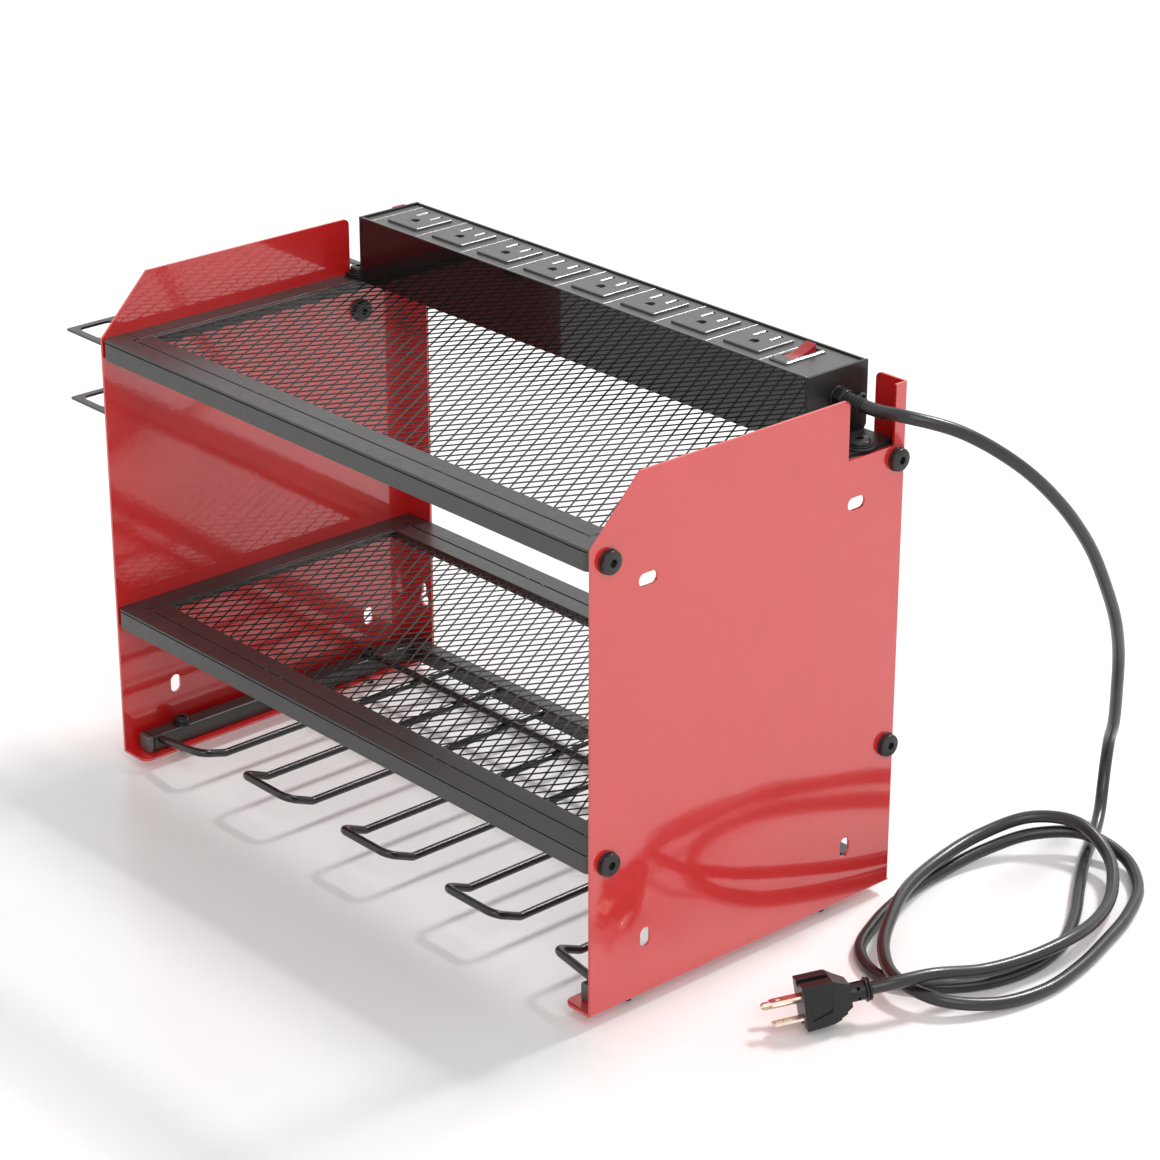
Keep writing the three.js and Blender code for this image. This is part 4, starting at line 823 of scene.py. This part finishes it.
def hex_nut(flats=NUT_FLATS, thread_out=0.0):
    """A chamfered nut from the origin up, round the end of its bolt."""
    corner = flats / math.sqrt(3)
    chamfer = corner - flats / 2 + NUT_CHAMFER
    edge = (chamfer + NUT_SPARE, chamfer * NUT_SLOPE)
    limit = rod(corner + NUT_SPARE, 0, NUT_HEIGHT, edge, edge)
    room, depth = NUT_BORE
    bore = prism(circle(0, 0, THREAD_RADIUS + room), NUT_HEIGHT - depth, NUT_HEIGHT + OVERRUN)
    nut = shape(prism(hexagon(flats), 0, NUT_HEIGHT), cut=[bore], bevel=NUT_EDGE, within=[limit])
    end = rod(THREAD_RADIUS, NUT_CHAMFER, NUT_HEIGHT + thread_out, last_edge=THREAD_EDGE)
    return gathered([nut, end])


def dress_bolt(name, node, way, head, seat, nut, far_seat):
    """Dresses a bolt: a head on its seat and a nut on the far one, facing away from it."""
    dress(gathered([placed(head, seat, way), placed(nut, far_seat, -way)]), name, node)


def shelf_bolts():
    for shelf, _ in SHELVES:
        for name, sign in SIDES:
            for end in ENDS:
                node = f"{shelf}_bolt_{name}_{end}"
                bolt = placed(button_head(), middle(node, x=sign * HALF_WIDTH), X_AXIS * sign)
                dress(bolt, f"{shelf}_button_{name}_{end}", node)


def rack_bolts():
    for name, _ in SIDES:
        for end in ENDS:
            node = f"rack_bolt_{name}_{end}"
            low, high = extent(node)
            tall = high.z - TUBE_TOP - RACK_WASHER[1]
            dress_bolt(f"rack_button_{name}_{end}", node, Z_AXIS,
                       button_head(RACK_HEAD, tall, (RACK_WASHER,), RACK_SOCKET),
                       middle(node, z=TUBE_TOP), hex_nut(thread_out=-low.z - NUT_HEIGHT),
                       middle(node, z=0))


def side_rack_bolts():
    for end in ENDS:
        node = f"side_rack_bolt_{end}"
        dress_bolt(f"side_rack_button_{end}", node, X_AXIS, button_head(),
                   middle(node, x=-INNER_X), hex_nut(), middle(node, x=-HALF_WIDTH - SHEET))


shelf_bolts()
rack_bolts()
side_rack_bolts()

# Rack for drills: square tubes, bent wire hooks and a cross wire

TUBE_ROUND = 1.6
TUBE_WALL = 1.2
TUBE_EDGE = 0.2
CAP_LENGTH = 4.0
CAP_BEVEL = (1.3, 4)
WIRE_RADIUS = 2.5
LEG_Z = 9.0
BEND_Y = 36.0
BAR_Y = 17.0
BAR_Z = 17.0
LEFT_BAR_Z = 14.5
LEFT_BAR_DROP = 0.6
RIGHT_BAR_Y = 12.5
BEND_RADIUS = 7.5


def square_tube(node, axis, name):
    low, high = extent(node)
    along = "XYZ".index(axis)
    a, b = (i for i in range(3) if i != along)
    centre, size = (low + high) / 2, high - low
    outer, inner = (rounded(centre[a], centre[b], size[a] - 2 * wall, size[b] - 2 * wall,
                            TUBE_ROUND - wall) for wall in (0, TUBE_WALL))
    hollow = prism(inner, low[along] - OVERRUN, high[along] + OVERRUN, axis)
    tube = shape(prism(outer, low[along], high[along], axis), cut=[hollow], bevel=TUBE_EDGE)
    dress(tube, name, node)


def end_cap(name):
    node = f"rack_end_cap_{name}"
    low, high = extent(node)
    cap = block(low.x, high.x, low.y, low.y + CAP_LENGTH - SEAT_GAP, low.z, high.z)
    dress(shape(cap, (), (), *CAP_BEVEL), f"tube_cap_{name}", node)


def wire(name, node, corners):
    dress(sweep(filleted(corners, BEND_RADIUS), WIRE_RADIUS), name, node, look="gloss_wire")


def hooks():
    rear_y = extent("rack_rear_tube")[0].y

    def leg(x):
        return [(x, BEND_Y, LEG_Z), (x, rear_y, LEG_Z)]

    for index in (1, 2, 3):
        node = f"drill_hook_{index}"
        low, high = extent(node)
        left, right = low.x + WIRE_RADIUS, high.x - WIRE_RADIUS
        wire(f"hook_{index}", node, [*leg(left)[::-1], (left, BAR_Y, BAR_Z), (right, BAR_Y, BAR_Z),
                                     *leg(right)])
    low, high = extent("half_hook_left")
    x = high.x - WIRE_RADIUS
    wire("hook_left_end", "half_hook_left",
         [(low.x, BAR_Y, TUBE_TOP - WIRE_RADIUS - LEFT_BAR_DROP), (x, BAR_Y, LEFT_BAR_Z), *leg(x)])
    low, high = extent("half_hook_right")
    x = low.x + WIRE_RADIUS
    wire("hook_right_end", "half_hook_right",
         [(high.x, RIGHT_BAR_Y, TUBE_TOP + WIRE_RADIUS), (x, BAR_Y, BAR_Z), *leg(x)])
    low, high = extent("rack_cross_wire")
    wire("cross_wire", "rack_cross_wire", [middle("rack_cross_wire", x) for x in (low.x, high.x)])


for name, _ in SIDES:
    square_tube(f"rack_tube_{name}", "Y", f"tube_{name}")
    end_cap(name)
square_tube("rack_rear_tube", "X", "tube_rear")
hooks()

# Side rack for hand tools

RACK_HOLES = 6
RACK_HOLE = 25.0
RACK_HOLE_ROUND = 4.5
RACK_RIM = 4.4
BOLT_ROOM = (0.6, 6.0)


def side_rack():
    low, high = extent("side_rack")
    section = bent_sheet([(low.x, low.z), (-HALF_WIDTH, low.z), (-HALF_WIDTH, high.z),
                          (low.x, high.z)])
    rack = prism(section, low.y, high.y, "Y")
    edge = RACK_RIM + RACK_HOLE / 2
    pitch = (high.y - low.y - 2 * edge) / (RACK_HOLES - 1)
    cuts = []
    for i in range(RACK_HOLES):
        hole_y = low.y + edge + i * pitch
        hole = rounded(low.x + edge, hole_y, RACK_HOLE, RACK_HOLE, RACK_HOLE_ROUND)
        cuts.append(prism(hole, low.z - OVERRUN, high.z + OVERRUN))
    wider, depth = BOLT_ROOM
    for end in ENDS:
        place = middle(f"top_shelf_bolt_left_{end}", x=-HALF_WIDTH + OVERRUN)
        cuts.append(placed(rod(WASHER[0] + wider, 0, depth), place, -X_AXIS))
    dress(shape(rack, cut=cuts, bevel=EDGE), "tool_rack", "side_rack")


side_rack()

# Power strip

STRIP_WALL = 1.8
CASE_BEVEL = (0.45, 3)
FACE_RECESS = 1.2
FACE_THICKNESS = 2.0
FACE_EDGE = 0.25
SLOPE_ANGLE = 25
OUTLETS = 8
OUTLET_PITCH = 42.9
OUTLET_SHIFT = 0.7
OUTLET_SIZE = (28.5, 29.0)
OUTLET_HEIGHT = 1.5
OUTLET_CORNERS = (0.8, 0.4)
OUTLET_SLOPE = (0.48, 0.34)
OUTLET_LEDGE = (3.0, 1.2)
OUTLET_SINK = 1.0
OUTLET_EDGE = 0.12
BLADE_SPACING = 12.7
GROUND_OFFSET = 11.9
BLADE_SETBACK = 8.5
BLADE_SLOT_WIDTH = 2.2
BLADE_SLOTS = ((-1, 10.0), (1, 9.0))
SLOT_SLOPE = (0.9, 0.56)
SLOT_DEPTH = 6.0
SLOT_FLOOR = (2.0, 1.0, 1.0)
GROUND_RADIUS = 2.9
GROUND_FOOT = 2.2
SWITCH_HOLE = (6.3, 15.0)
RIDGE = ((-0.25, 0.0), (0.0, 0.2), (0.32, 0.0))
RIDGE_SINK = 0.3
RIDGE_END = 0.4
END_SHEET = 2.0
END_BEVEL = (0.35, 3)
EAR_SLOT = (5.6, 10.0, 2.8)
CORNER_CUT = (3.0, 4.4)
EAR_HEAD = (2.7, 2.2)
EAR_WASHERS = ((0.0, 1.1), (1.6, 0.8))
EAR_NUT = 6.76
SCREW_HEIGHT = 2.4
SCREW_PROFILE = ((0, -0.5), (3.8, -0.5), (4.0, 0.1), (4.0, 0.9), (3.2, 1.9), (1.8, 2.35),
                 (0, SCREW_HEIGHT))
SCREW_CROSS = (0.45, 2.1, 1.2)
SCREW_EDGE = 0.08
SCREW_SIDES = 32


def housing():
    low, high = extent("strip_housing")
    outer = block(low.x, high.x, low.y, high.y, low.z, high.z)
    hollow = block(low.x - OVERRUN, high.x + OVERRUN, low.y + STRIP_WALL, high.y - STRIP_WALL,
                   low.z + STRIP_WALL, high.z + OVERRUN)
    dress(shape(outer, (), [hollow], *CASE_BEVEL), "strip_case", "strip_housing")


def outlet(x, y, face):
    """A raised pad with a ground hole and two blade slots, whose left rims are sloped."""
    top, floor = face + OUTLET_HEIGHT, face - SLOT_DEPTH
    pad = sloped_pad(x, y, OUTLET_SIZE, OUTLET_CORNERS, face - OUTLET_SINK, top, OUTLET_SLOPE)
    slot_y = y + BLADE_SETBACK
    run, rise = SLOT_SLOPE
    holes = []
    for side, length in BLADE_SLOTS:
        slot_x = x + side * BLADE_SPACING / 2
        left, right = slot_x - BLADE_SLOT_WIDTH / 2, slot_x + BLADE_SLOT_WIDTH / 2
        ends = (slot_y - length / 2, slot_y + length / 2)
        holes.append(block(left, right, *ends, floor, top + OVERRUN))
        slope = [(left - run, top), (left - run, top + OVERRUN), (slot_x, top + OVERRUN),
                 (slot_x, top - rise), (left, top - rise)]
        holes.append(prism(slope, *ends, "Y"))
    ground_y = slot_y - GROUND_OFFSET
    ground = [*arc((x, ground_y), GROUND_RADIUS, 0, 2), (x - GROUND_RADIUS, ground_y - GROUND_FOOT),
              (x + GROUND_RADIUS, ground_y - GROUND_FOOT)]
    holes.append(prism(ground, floor, top + OVERRUN))
    return shape(pad, cut=holes, bevel=OUTLET_EDGE)


def face_plate():
    """The recessed face, with its outlets, the ridges between them and a floor below the slots."""
    low, high = extent("strip_face_plate")
    face = extent("strip_housing")[1].z - FACE_RECESS
    through = (face - FACE_THICKNESS - OVERRUN, face + OVERRUN)
    y = middle("strip_housing").y + OUTLET_SHIFT
    first = middle("bus_bar_neutral").x - (OUTLETS - 1) / 2 * OUTLET_PITCH
    ledge, corner = OUTLET_LEDGE
    pads, cuts, ribs = [], [], []
    for i in range(OUTLETS):
        x = first + i * OUTLET_PITCH
        pads.append(outlet(x, y, face))
        opening = rounded(x, y, OUTLET_SIZE[0] - ledge, OUTLET_SIZE[1] - ledge, corner)
        cuts.append(prism(opening, *through))
    switch = middle("switch_body")
    wide, long = SWITCH_HOLE
    cuts.append(block(switch.x - wide, switch.x + wide, switch.y - long, switch.y + long, *through))
    root = face - RIDGE_SINK
    for i in range(OUTLETS + 1):
        x = first + (i - 0.5) * OUTLET_PITCH
        outline = [(x + RIDGE[0][0], root), *((x + a, face + b) for a, b in RIDGE),
                   (x + RIDGE[-1][0], root)]
        ribs.append(prism(outline, low.y + RIDGE_END, high.y - RIDGE_END, "Y"))
    plate = block(low.x, high.x, low.y, high.y, face - FACE_THICKNESS, face)
    shape(plate, cut=cuts, bevel=FACE_EDGE)
    in_x, in_y, thick = SLOT_FLOOR
    floor = block(low.x + in_x, high.x - in_x, low.y + in_y, high.y - in_y,
                  face - SLOT_DEPTH - thick, face - SLOT_DEPTH)
    whole = gathered([plate, *pads, *ribs, floor])
    dress(whole, "strip_face", "strip_face_plate", smooth=SLOPE_ANGLE)


def end_plate(name, sign):
    node = f"strip_end_cap_{name}"
    low, high = extent(node)
    face_x, ear_x = outer_x("strip_housing", sign), outer_x(node, sign)
    plate = block(face_x, face_x + sign * END_SHEET, low.y, high.y, low.z, high.z)
    ear = block(face_x, ear_x, low.y, high.y, low.z, low.z + END_SHEET)
    bolt = middle(f"strip_ear_bolt_{name}")
    slot = prism(rounded(bolt.x, bolt.y, *EAR_SLOT), low.z - OVERRUN, low.z + END_SHEET + OVERRUN)
    in_y, up = CORNER_CUT
    corner = prism([(high.y - in_y, low.z), (high.y + OVERRUN, low.z - OVERRUN),
                    (high.y + OVERRUN, low.z + up), (high.y, low.z + up)],
                   face_x - OVERRUN, ear_x + OVERRUN, "X")
    shape(plate, [ear], [slot, corner], *END_BEVEL)
    dress(plate, f"strip_end_{name}", node, look="end_moulding")


def ear_bolt(name):
    node = f"strip_ear_bolt_{name}"
    low, high = extent(node)
    wide = (high.x - low.x) / 2
    height, rim = EAR_HEAD
    washers = [(wide - less, thickness) for less, thickness in EAR_WASHERS]
    dress_bolt(f"ear_button_{name}", node, Z_AXIS,
               button_head(min(HEAD_RADIUS, wide - rim), height, washers),
               middle(node, z=SHELF_TOP + END_SHEET), hex_nut(EAR_NUT),
               middle(node, z=SHELF_TOP - SHEET))


def end_screw(name, sign):
    node = f"strip_end_screw_{name}"
    thin, long, floor = SCREW_CROSS
    top = SCREW_HEIGHT + OVERRUN
    cross = [block(-a, a, -b, b, floor, top) for a, b in ((thin, long), (long, thin))]
    head = shape(lathe(SCREW_PROFILE, SCREW_SIDES), cut=cross, bevel=SCREW_EDGE)
    place = middle(node, x=outer_x(node, sign) - sign * SCREW_HEIGHT)
    dress(placed(head, place, X_AXIS * sign), f"end_screw_{name}", node)


housing()
face_plate()
for name, sign in SIDES:
    end_plate(name, sign)
    ear_bolt(name)
    end_screw(name, sign)

# Switch. The rocker's heel is (in from the front, in from the rear, below the pivot).

BEZEL_HEIGHT = 1.6
BEZEL_SLOPE = (1.2, 0.75)
BEZEL_CORNERS = (1.2, 0.8)
BEZEL_EDGE = 0.2
SWITCH_HALF = (6.0, 14.7)
SWITCH_LAP = 0.5
WINDOW = (-8.4, 14.0, 4.5)
ROCKER_HALF = (8.6, 12.4)
ROCKER_WIDTH = 4.1
ROCKER_REST = math.radians(10)
ROCKER_CROWN = 6.0
ROCKER_RISE = (2.2, 1.6)
ROCKER_LIP = 0.35
ROCKER_HEEL = (2.4, 3.4, 4.4)
ROCKER_BEVEL = (0.4, 4, 28)
ROCKER_STEPS = 16
PIVOT_PIN = (1.1, 5.3)


def switch():
    low, high = extent("switch_body")
    x, y = middle("switch_body").xy
    face = high.z - BEZEL_HEIGHT
    size = high - low
    bezel = sloped_pad(x, y, size, BEZEL_CORNERS, face, high.z, BEZEL_SLOPE)
    wide, long = SWITCH_HALF
    body = block(x - wide, x + wide, y - long, y + long, low.z, face + SWITCH_LAP)
    front, rear, half = WINDOW
    well = block(x - half, x + half, y + front, y + rear, low.z + SHEET, high.z + OVERRUN)
    dress(shape(bezel, [body], [well], BEZEL_EDGE), "switch_frame", "switch_body",
          smooth=SLOPE_ANGLE)


def rocker():
    """The lens about its pivot, level; its top dips in the middle and rises to both ends."""
    joint = next(j for j in frame["joints"] if j["name"] == "rocker_tip")
    pivot = (Vector(joint["pos_m"]) - ORIGIN) / MM
    front, rear = ROCKER_HALF
    rise, power = ROCKER_RISE
    top = []
    for i in range(ROCKER_STEPS + 1):
        y = -front + (front + rear) * i / ROCKER_STEPS
        top.append((y, ROCKER_CROWN + rise * abs(y / rear) ** power))
    top[0] = (top[0][0], top[0][1] + ROCKER_LIP)
    in_front, in_rear, heel = ROCKER_HEEL
    profile = [(-front + in_front, -heel), (rear - in_rear, -heel), *top[::-1]]
    body = shape(prism(profile, -ROCKER_WIDTH, ROCKER_WIDTH, "X"), (), (), *ROCKER_BEVEL)
    radius, half = PIVOT_PIN
    pins = placed(rod(radius, -half, half, sides=SMALL_SIDES), Vector(), X_AXIS)
    whole = gathered([body, pins])
    whole.data.transform(Matrix.Translation(pivot) @ Matrix.Rotation(ROCKER_REST, 4, "X"))
    dress(whole, "rocker_cap", "switch_rocker")


switch()
rocker()

# Strain relief, each part with its radius, or its width across flats, and its length

GLAND_FLANGE = (6.5, 0.9)
GLAND_NUT = (11.2, 5.4)
GLAND_TURN = 0.25
GLAND_RIM = (5.5, 1.2)
GLAND_EDGE = (0.5, 0.5)
GLAND_LAP = 0.1
GLAND_BEVEL = (0.5, 3, 50)
BOOT = (4.7, 4.2)
BOOT_RIBS = 5
BOOT_GROOVE = 0.35
BOOT_EDGE = (0.2, 0.3)
BOOT_GAP = 0.05


def strain_relief():
    seat = outer_x("strip_housing", 1) + END_SHEET
    radius, base = GLAND_FLANGE
    flange = rod(radius, SEAT_GAP, base, last_edge=GLAND_EDGE)
    flats, height = GLAND_NUT
    nut = prism(hexagon(flats, GLAND_TURN), base - GLAND_LAP, base + height)
    shape(nut, (), (), *GLAND_BEVEL)
    base += height
    radius, height = GLAND_RIM
    rim = rod(radius, base - GLAND_LAP, base + height, last_edge=GLAND_EDGE)
    start = base + height
    wide, narrow = BOOT
    stages = 2 * BOOT_RIBS - 1
    stage = (RELIEF_END - seat - start) / stages
    across, along = BOOT_EDGE
    profile = [(0, start - GLAND_LAP), (wide, start - GLAND_LAP)]
    for i in range(stages):
        radius = wide + (narrow - wide) * i / (stages - 1) - BOOT_GROOVE * (i % 2)
        at = start + i * stage
        profile += [(radius - across, at + BOOT_GAP), (radius, at + along),
                    (radius, at + stage - along), (radius - across, at + stage - BOOT_GAP)]
    sleeve = lathe([*profile, (0, start + stages * stage)], CIRCLE_SIDES)
    gland = placed(gathered([flange, nut, rim, sleeve]), middle("strain_relief", x=seat), X_AXIS)
    dress(gland, "cord_gland", "strain_relief")


strain_relief()

# Plug, made about its own frame: blades along +X, stacked along Z, the ground pin at -Y

PLUG_LENGTH = 27.6
PLUG_THICK = 22.0
PLUG_HALF = 12.75
PLUG_HEEL = 6.5
PLUG_SHOULDER = 16.0
PLUG_OUTLINE = ((0, -PLUG_HALF), (0, PLUG_HALF), (-17.5, PLUG_HALF), (-21.0, 10.55),
                (-PLUG_LENGTH, 7.3), (-PLUG_LENGTH, -6.0), (-24.0, -7.7), (-24.0, -8.7),
                (-20.0, -9.9), (-20.0, -10.7), (-11.0, -12.15))
PLUG_GROOVE = (6.4, 2.6, 14.0)
PLUG_BEVEL = (0.5, 3, 30)
GRIPS = (
    (0.5, ((-3.5, -5.25), (-3.5, 8.25), (-PLUG_SHOULDER, 7.25), (-PLUG_SHOULDER, -2.75))),
    (1.1, ((-4.0, -7.55), (-4.0, -6.55), (-15.0, -3.35), (-15.0, -4.35))),
)
NECK_LENGTH = 8.8
NECK_RADIUS = 5.5
NECK_LAP = 0.5
NECK_SLIT = (5.6, 3.8, 2.9, 0.8)
NECK_RIDGE = (8.0, 2.0, 0.9, 1.6)
NECK_EDGE = 0.2
COLLAR_LENGTH = 3.8
COLLAR_RADIUS = 7.0
COLLAR_GAP = 0.35
COLLAR_EDGE = (0.4, 0.4)
CORE_ROOM = (0.9, 0.4)
BLADE = (18.0, 6.35, 1.5)
BLADE_ROW = 4.2
BLADE_ROOT = -5.0
BLADE_ROOM = 0.2
BLADE_POINT = 1.4
BLADE_HOLE = (5.0, 1.6)
BLADE_EDGE = 0.22
PIN = (21.0, 2.38)
PIN_NOSE = 2.4
PIN_SLIT = (6.5, 0.35, 0.45)
PIN_EDGE = 0.1
PIN_SIDES = 32


def plug_place():
    up = (PLUG_TOP - PLUG_AXIS * PLUG_TOP.dot(PLUG_AXIS)).normalized()
    turn = Matrix((PLUG_AXIS, up.cross(PLUG_AXIS), up)).transposed().to_4x4()
    face = PLUG_REAR + PLUG_AXIS * (PLUG_LENGTH + NECK_LENGTH + COLLAR_LENGTH)
    return Matrix.Translation(face) @ turn


def plug_piece(solid, name, node):
    solid.data.transform(plug_place())
    return dress(solid, name, node)


def plug_block():
    """The moulded body: a profile narrowed to its heel, with grooves, grips and blade holes."""
    side = PLUG_THICK / 2
    from_top = [(0, -side), (0, side), (-PLUG_SHOULDER, side), (-PLUG_LENGTH, PLUG_HEEL),
                (-PLUG_LENGTH, -PLUG_HEEL), (-PLUG_SHOULDER, -side)]
    width, depth, run = PLUG_GROOVE
    groove = [(OVERRUN, -width / 2), (OVERRUN, width / 2), *arc((-run, 0), width / 2, 1, 2)]
    wide, thick = BLADE[1] / 2 + BLADE_ROOM, BLADE[2] / 2 + BLADE_ROOM
    cuts = []
    for way in (-1, 1):
        cuts.append(prism(groove, way * (PLUG_HALF - depth), way * (PLUG_HALF + OVERRUN)))
        for deep, outline in GRIPS:
            cuts.append(prism(outline, way * (side - deep), way * (side + OVERRUN), "Y"))
        z = way * BLADE_SPACING / 2
        cuts.append(block(BLADE_ROOT, OVERRUN, BLADE_ROW - wide, BLADE_ROW + wide,
                          z - thick, z + thick))
    body = prism(PLUG_OUTLINE, -side, side, "Y")
    return shape(body, (), cuts, *PLUG_BEVEL, within=[prism(from_top, -PLUG_HALF, PLUG_HALF)])


def plug_neck():
    """The slit neck behind the body, with a ridge along its top."""
    neck = rod(NECK_RADIUS, -PLUG_LENGTH - NECK_LENGTH - NECK_LAP, NECK_LAP - PLUG_LENGTH,
               sides=CIRCLE_SIDES)
    placed(neck, Vector(), X_AXIS)
    far, near, out, half = NECK_SLIT
    reach = NECK_RADIUS + OVERRUN
    holes = [block(-PLUG_LENGTH - far, -PLUG_LENGTH - near, -reach, reach,
                   way * out - half, way * out + half) for way in (-1, 1)]
    far, near, half, depth = NECK_RIDGE
    holes.append(block(-PLUG_LENGTH - far, -PLUG_LENGTH - near, -half, half,
                       NECK_RADIUS - depth, reach))
    return shape(neck, cut=holes, bevel=NECK_EDGE)


def plug_collar():
    """Two rings round a core, where the cord comes out."""
    start = -PLUG_LENGTH - NECK_LENGTH
    end = start - COLLAR_LENGTH
    near_room, far_room = CORE_ROOM
    solids = [lathe([(0, start), (CORD_RADIUS + near_room, start), (CORD_RADIUS + far_room, end),
                     (0, end)], CIRCLE_SIDES)]
    for i in range(2):
        near = start - i * COLLAR_LENGTH / 2
        far = near - COLLAR_LENGTH / 2 + COLLAR_GAP
        radius = COLLAR_RADIUS - i * COLLAR_EDGE[0]
        solids.append(rod(radius, far, near, COLLAR_EDGE, COLLAR_EDGE, CIRCLE_SIDES))
    return [placed(solid, Vector(), X_AXIS) for solid in solids]


def blade(name, z):
    length, width, thick = BLADE
    low, high = BLADE_ROW - width / 2, BLADE_ROW + width / 2
    tip = length - BLADE_POINT
    outline = [(BLADE_ROOT, low), (tip, low), (length, low + BLADE_POINT),
               (length, high - BLADE_POINT), (tip, high), (BLADE_ROOT, high)]
    back, radius = BLADE_HOLE
    hole = prism(circle(length - back, BLADE_ROW, radius), z - thick, z + thick)
    solid = prism(outline, z - thick / 2, z + thick / 2)
    shape(solid, cut=[hole], bevel=BLADE_EDGE)
    return plug_piece(solid, f"blade_{name}", f"plug_blade_{name}")


def ground_pin():
    length, radius = PIN
    y = BLADE_ROW - GROUND_OFFSET
    pin = lathe([(0, BLADE_ROOT), (radius, BLADE_ROOT), *dome(radius, PIN_NOSE, length - PIN_NOSE)],
                PIN_SIDES)
    placed(pin, Vector((0, y, 0)), X_AXIS)
    back, below, half = PIN_SLIT
    slit = block(length - back, length + OVERRUN, y - below, y + radius + OVERRUN, -half, half)
    return plug_piece(shape(pin, cut=[slit], bevel=PIN_EDGE), "ground_blade", "plug_ground_pin")


moulding = gathered([plug_block(), plug_neck(), *plug_collar()])
plug_pieces = [
    plug_piece(moulding, "plug_moulding", "plug_body"), blade("hot", BLADE_SPACING / 2),
    blade("neutral", -BLADE_SPACING / 2), ground_pin(),
]

# Floor, light and background

FLOOR_REACH = 6.0
FLOOR_VALUES = {"Roughness": 0.30, "Base Color": (0.86, 0.855, 0.85, 1), "IOR": 1.45,
                "Emission Color": (1, 1, 1, 1)}
FLOOR_BUMPS = [(3.0, 0.003)]
FLOOR_GLOW = 0.12
WORLD_LIGHT = 0.54
WORLD_COLOUR = (1.0, 0.997, 0.992, 1)
LAMPS = (
    ("key", Vector((0.04, 0.82, 1.0)), 5.2, (1.24, 0.76), 190),
    ("fill", Vector((0.75, -0.35, 0.75)), 6.0, (3.4, 3.4), 84),
)


def seen_directly(tree):
    """1 for a camera, glossy or transmission ray, and 0 for the light that the object gets."""
    path = tree.nodes.new("ShaderNodeLightPath")
    seen = path.outputs["Is Camera Ray"]
    for other in ("Is Glossy Ray", "Is Transmission Ray"):
        pair = {0: seen, 1: path.outputs[other]}
        seen = made_node(tree, "ShaderNodeMath", pair, operation="MAXIMUM").outputs[0]
    return seen


def floor():
    bm = bmesh.new()
    corners = [(-1, -1), (1, -1), (1, 1), (-1, 1)]
    bm.faces.new([bm.verts.new((a * FLOOR_REACH, b * FLOOR_REACH, 0)) for a, b in corners])
    ground = linked(bm, "floor")
    look = Look("floor", FLOOR_VALUES)
    look.bump(FLOOR_BUMPS)
    glow = made_node(look.tree, "ShaderNodeMapRange", {
        "Value": seen_directly(look.tree), "To Max": FLOOR_GLOW})
    look.feed("Emission Strength", glow.outputs["Result"])
    ground.data.materials.append(look.material)


def world():
    scene_world = bpy.data.worlds.new("studio")
    scene_world.use_nodes = True
    bpy.context.scene.world = scene_world
    tree = scene_world.node_tree
    background = tree.nodes["Background"]
    background.inputs["Color"].default_value = WORLD_COLOUR
    strength = made_node(tree, "ShaderNodeMapRange", {
        "Value": seen_directly(tree), "To Min": WORLD_LIGHT, "To Max": 1.0})
    tree.links.new(strength.outputs["Result"], background.inputs["Strength"])


def lamp(name, way, distance, size, watts):
    """A soft lamp that shines on the object from that way off."""
    data = bpy.data.lights.new(name, "AREA")
    data.shape = "ELLIPSE"
    data.size, data.size_y = size
    data.energy = watts
    light = bpy.data.objects.new(name, data)
    bpy.context.scene.collection.objects.link(light)
    turn = way.to_track_quat("Z", "Y").to_matrix().to_4x4()
    light.matrix_world = Matrix.Translation(way.normalized() * distance) @ turn


floor()
world()
for settings in LAMPS:
    lamp(*settings)
bpy.context.scene.view_settings.view_transform = "Standard"
